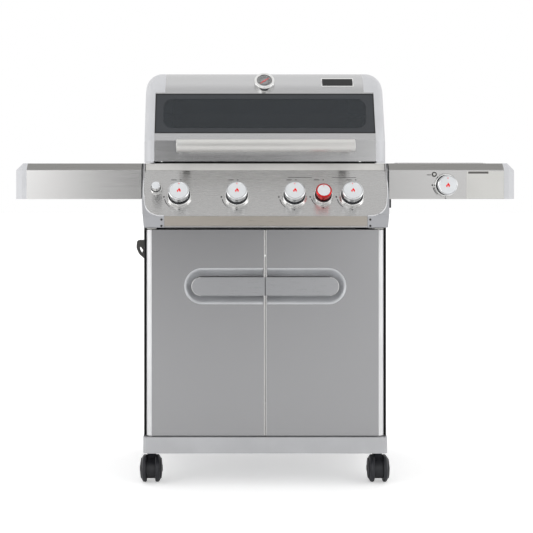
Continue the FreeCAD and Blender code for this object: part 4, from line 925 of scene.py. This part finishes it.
def world_ramp(tree, value, stops):
    """Grey levels by position along a value; the stops are (value, level), from lowest to highest."""
    low, high = stops[0][0], stops[-1][0]
    place = tree.nodes.new("ShaderNodeMapRange")
    place.inputs["From Min"].default_value = low
    place.inputs["From Max"].default_value = high
    tree.links.new(value, place.inputs["Value"])
    ramp = tree.nodes.new("ShaderNodeValToRGB")
    ramp.color_ramp.interpolation = "CARDINAL"
    elements = ramp.color_ramp.elements
    while len(elements) < len(stops):
        elements.new(0.5)
    for element, (position, level) in zip(elements, stops):
        element.position = (position - low) / (high - low)
        element.color = (level / BRIGHTEST, level / BRIGHTEST, level / BRIGHTEST, 1)
    tree.links.new(place.outputs["Result"], ramp.inputs["Fac"])
    return world_math(tree, "MULTIPLY", ramp.outputs["Color"], BRIGHTEST)


def world_math(tree, operation, *values):
    node = tree.nodes.new("ShaderNodeMath")
    node.operation = operation
    for index, value in enumerate(values):
        if isinstance(value, (int, float)):
            node.inputs[index].default_value = value
        else:
            tree.links.new(value, node.inputs[index])
    return node.outputs[0]


def make_world():
    """White backdrop for the camera; for everything else a soft studio, dark only behind the camera.

    Low down, the light changes with X over distance ahead; higher up, with the height of the direction.
    """
    world = bpy.data.worlds.new("studio")
    bpy.context.scene.world = world
    world.use_nodes = True
    tree = world.node_tree
    background = tree.nodes["Background"]
    coordinates = tree.nodes.new("ShaderNodeTexCoord")
    split = tree.nodes.new("ShaderNodeSeparateXYZ")
    tree.links.new(coordinates.outputs["Generated"], split.inputs["Vector"])
    x, y, z = split.outputs["X"], split.outputs["Y"], split.outputs["Z"]
    ahead = world_math(tree, "MAXIMUM", world_math(tree, "MULTIPLY", y, -1.0), 0.2)
    across = world_math(tree, "DIVIDE", x, ahead)
    low_light = world_ramp(tree, across, LOW_LIGHT)
    high_light = world_ramp(tree, z, HIGH_LIGHT)
    behind = world_ramp(tree, y, ((-1.0, 0.0), (-0.2, 0.0), (0.4, 1.0), (1.0, 1.0)))
    lift = world_ramp(tree, z, ((0.0, 0.0), (0.30, 0.0), (0.52, 1.0), (1.0, 1.0)))
    front = mix_colors(tree, lift, low_light, high_light)
    white = tree.nodes.new("ShaderNodeRGB")
    white.outputs[0].default_value = (0.95, 0.95, 0.95, 1)
    around = mix_colors(tree, behind, front, white.outputs[0])
    path = tree.nodes.new("ShaderNodeLightPath")
    seen = tree.nodes.new("ShaderNodeRGB")
    seen.outputs[0].default_value = (1, 1, 1, 1)
    tree.links.new(mix_colors(tree, path.outputs["Is Camera Ray"], around, seen.outputs[0]),
                   background.inputs["Color"])


def mix_colors(tree, factor, first, second):
    node = tree.nodes.new("ShaderNodeMix")
    node.data_type = "RGBA"
    tree.links.new(factor, node.inputs["Factor"])
    tree.links.new(first, node.inputs["A"])
    tree.links.new(second, node.inputs["B"])
    return node.outputs["Result"]


def make_light(name, location, target, size, power, tint=(1, 1, 1)):
    data = bpy.data.lights.new(name, "AREA")
    data.shape = "RECTANGLE"
    data.size, data.size_y = size
    data.energy = power
    data.color = tint
    light = bpy.data.objects.new(name, data)
    light.location = location
    light.rotation_euler = (Vector(target) - Vector(location)).to_track_quat("-Z", "Y").to_euler()
    bpy.context.scene.collection.objects.link(light)


def make_lights():
    make_light("left_softbox", (-3.4, -2.4, 1.5), (-0.3, 0, 0.7), (1.0, 2.0), 14)
    make_light("right_softbox", (3.4, -2.6, 1.7), (0.3, 0, 0.7), (1.0, 2.0), 12)


def make_camera():
    """Level camera before the grill, a little to its left, at about shelf height."""
    data = bpy.data.cameras.new("camera")
    data.sensor_width = 36.0
    data.lens = 74.1
    data.shift_x = 0.0647
    data.shift_y = -0.1492
    data.clip_end = 100
    camera = bpy.data.objects.new("camera", data)
    camera.location = (-0.091, FRONT - 3.0, 0.821)
    camera.rotation_euler = (math.pi / 2, 0, 0)
    bpy.context.scene.collection.objects.link(camera)
    bpy.context.scene.camera = camera


finish_cad_nodes()
for tag in ("1", "2", "3", "broil", "4", "side"):
    make_knob_details(tag)
    make_knob_prints(tag)
make_panel_rules()
make_button_details()
make_lower_strip()
make_panel_screws()
make_panel_band()
make_casting_ridge()
make_lid_gap_strip()
make_shelf_details()
make_shelf_bevels()
make_shelf_shades_and_sleeve()
make_side_lid_details()
make_window_seal()
make_window_border()
make_badge()
make_gauge_details()
make_door_edges()
make_well_liner()
make_caster_details()
make_stage()
make_world()
make_lights()
make_camera()
bpy.context.scene.view_settings.view_transform = "Standard"
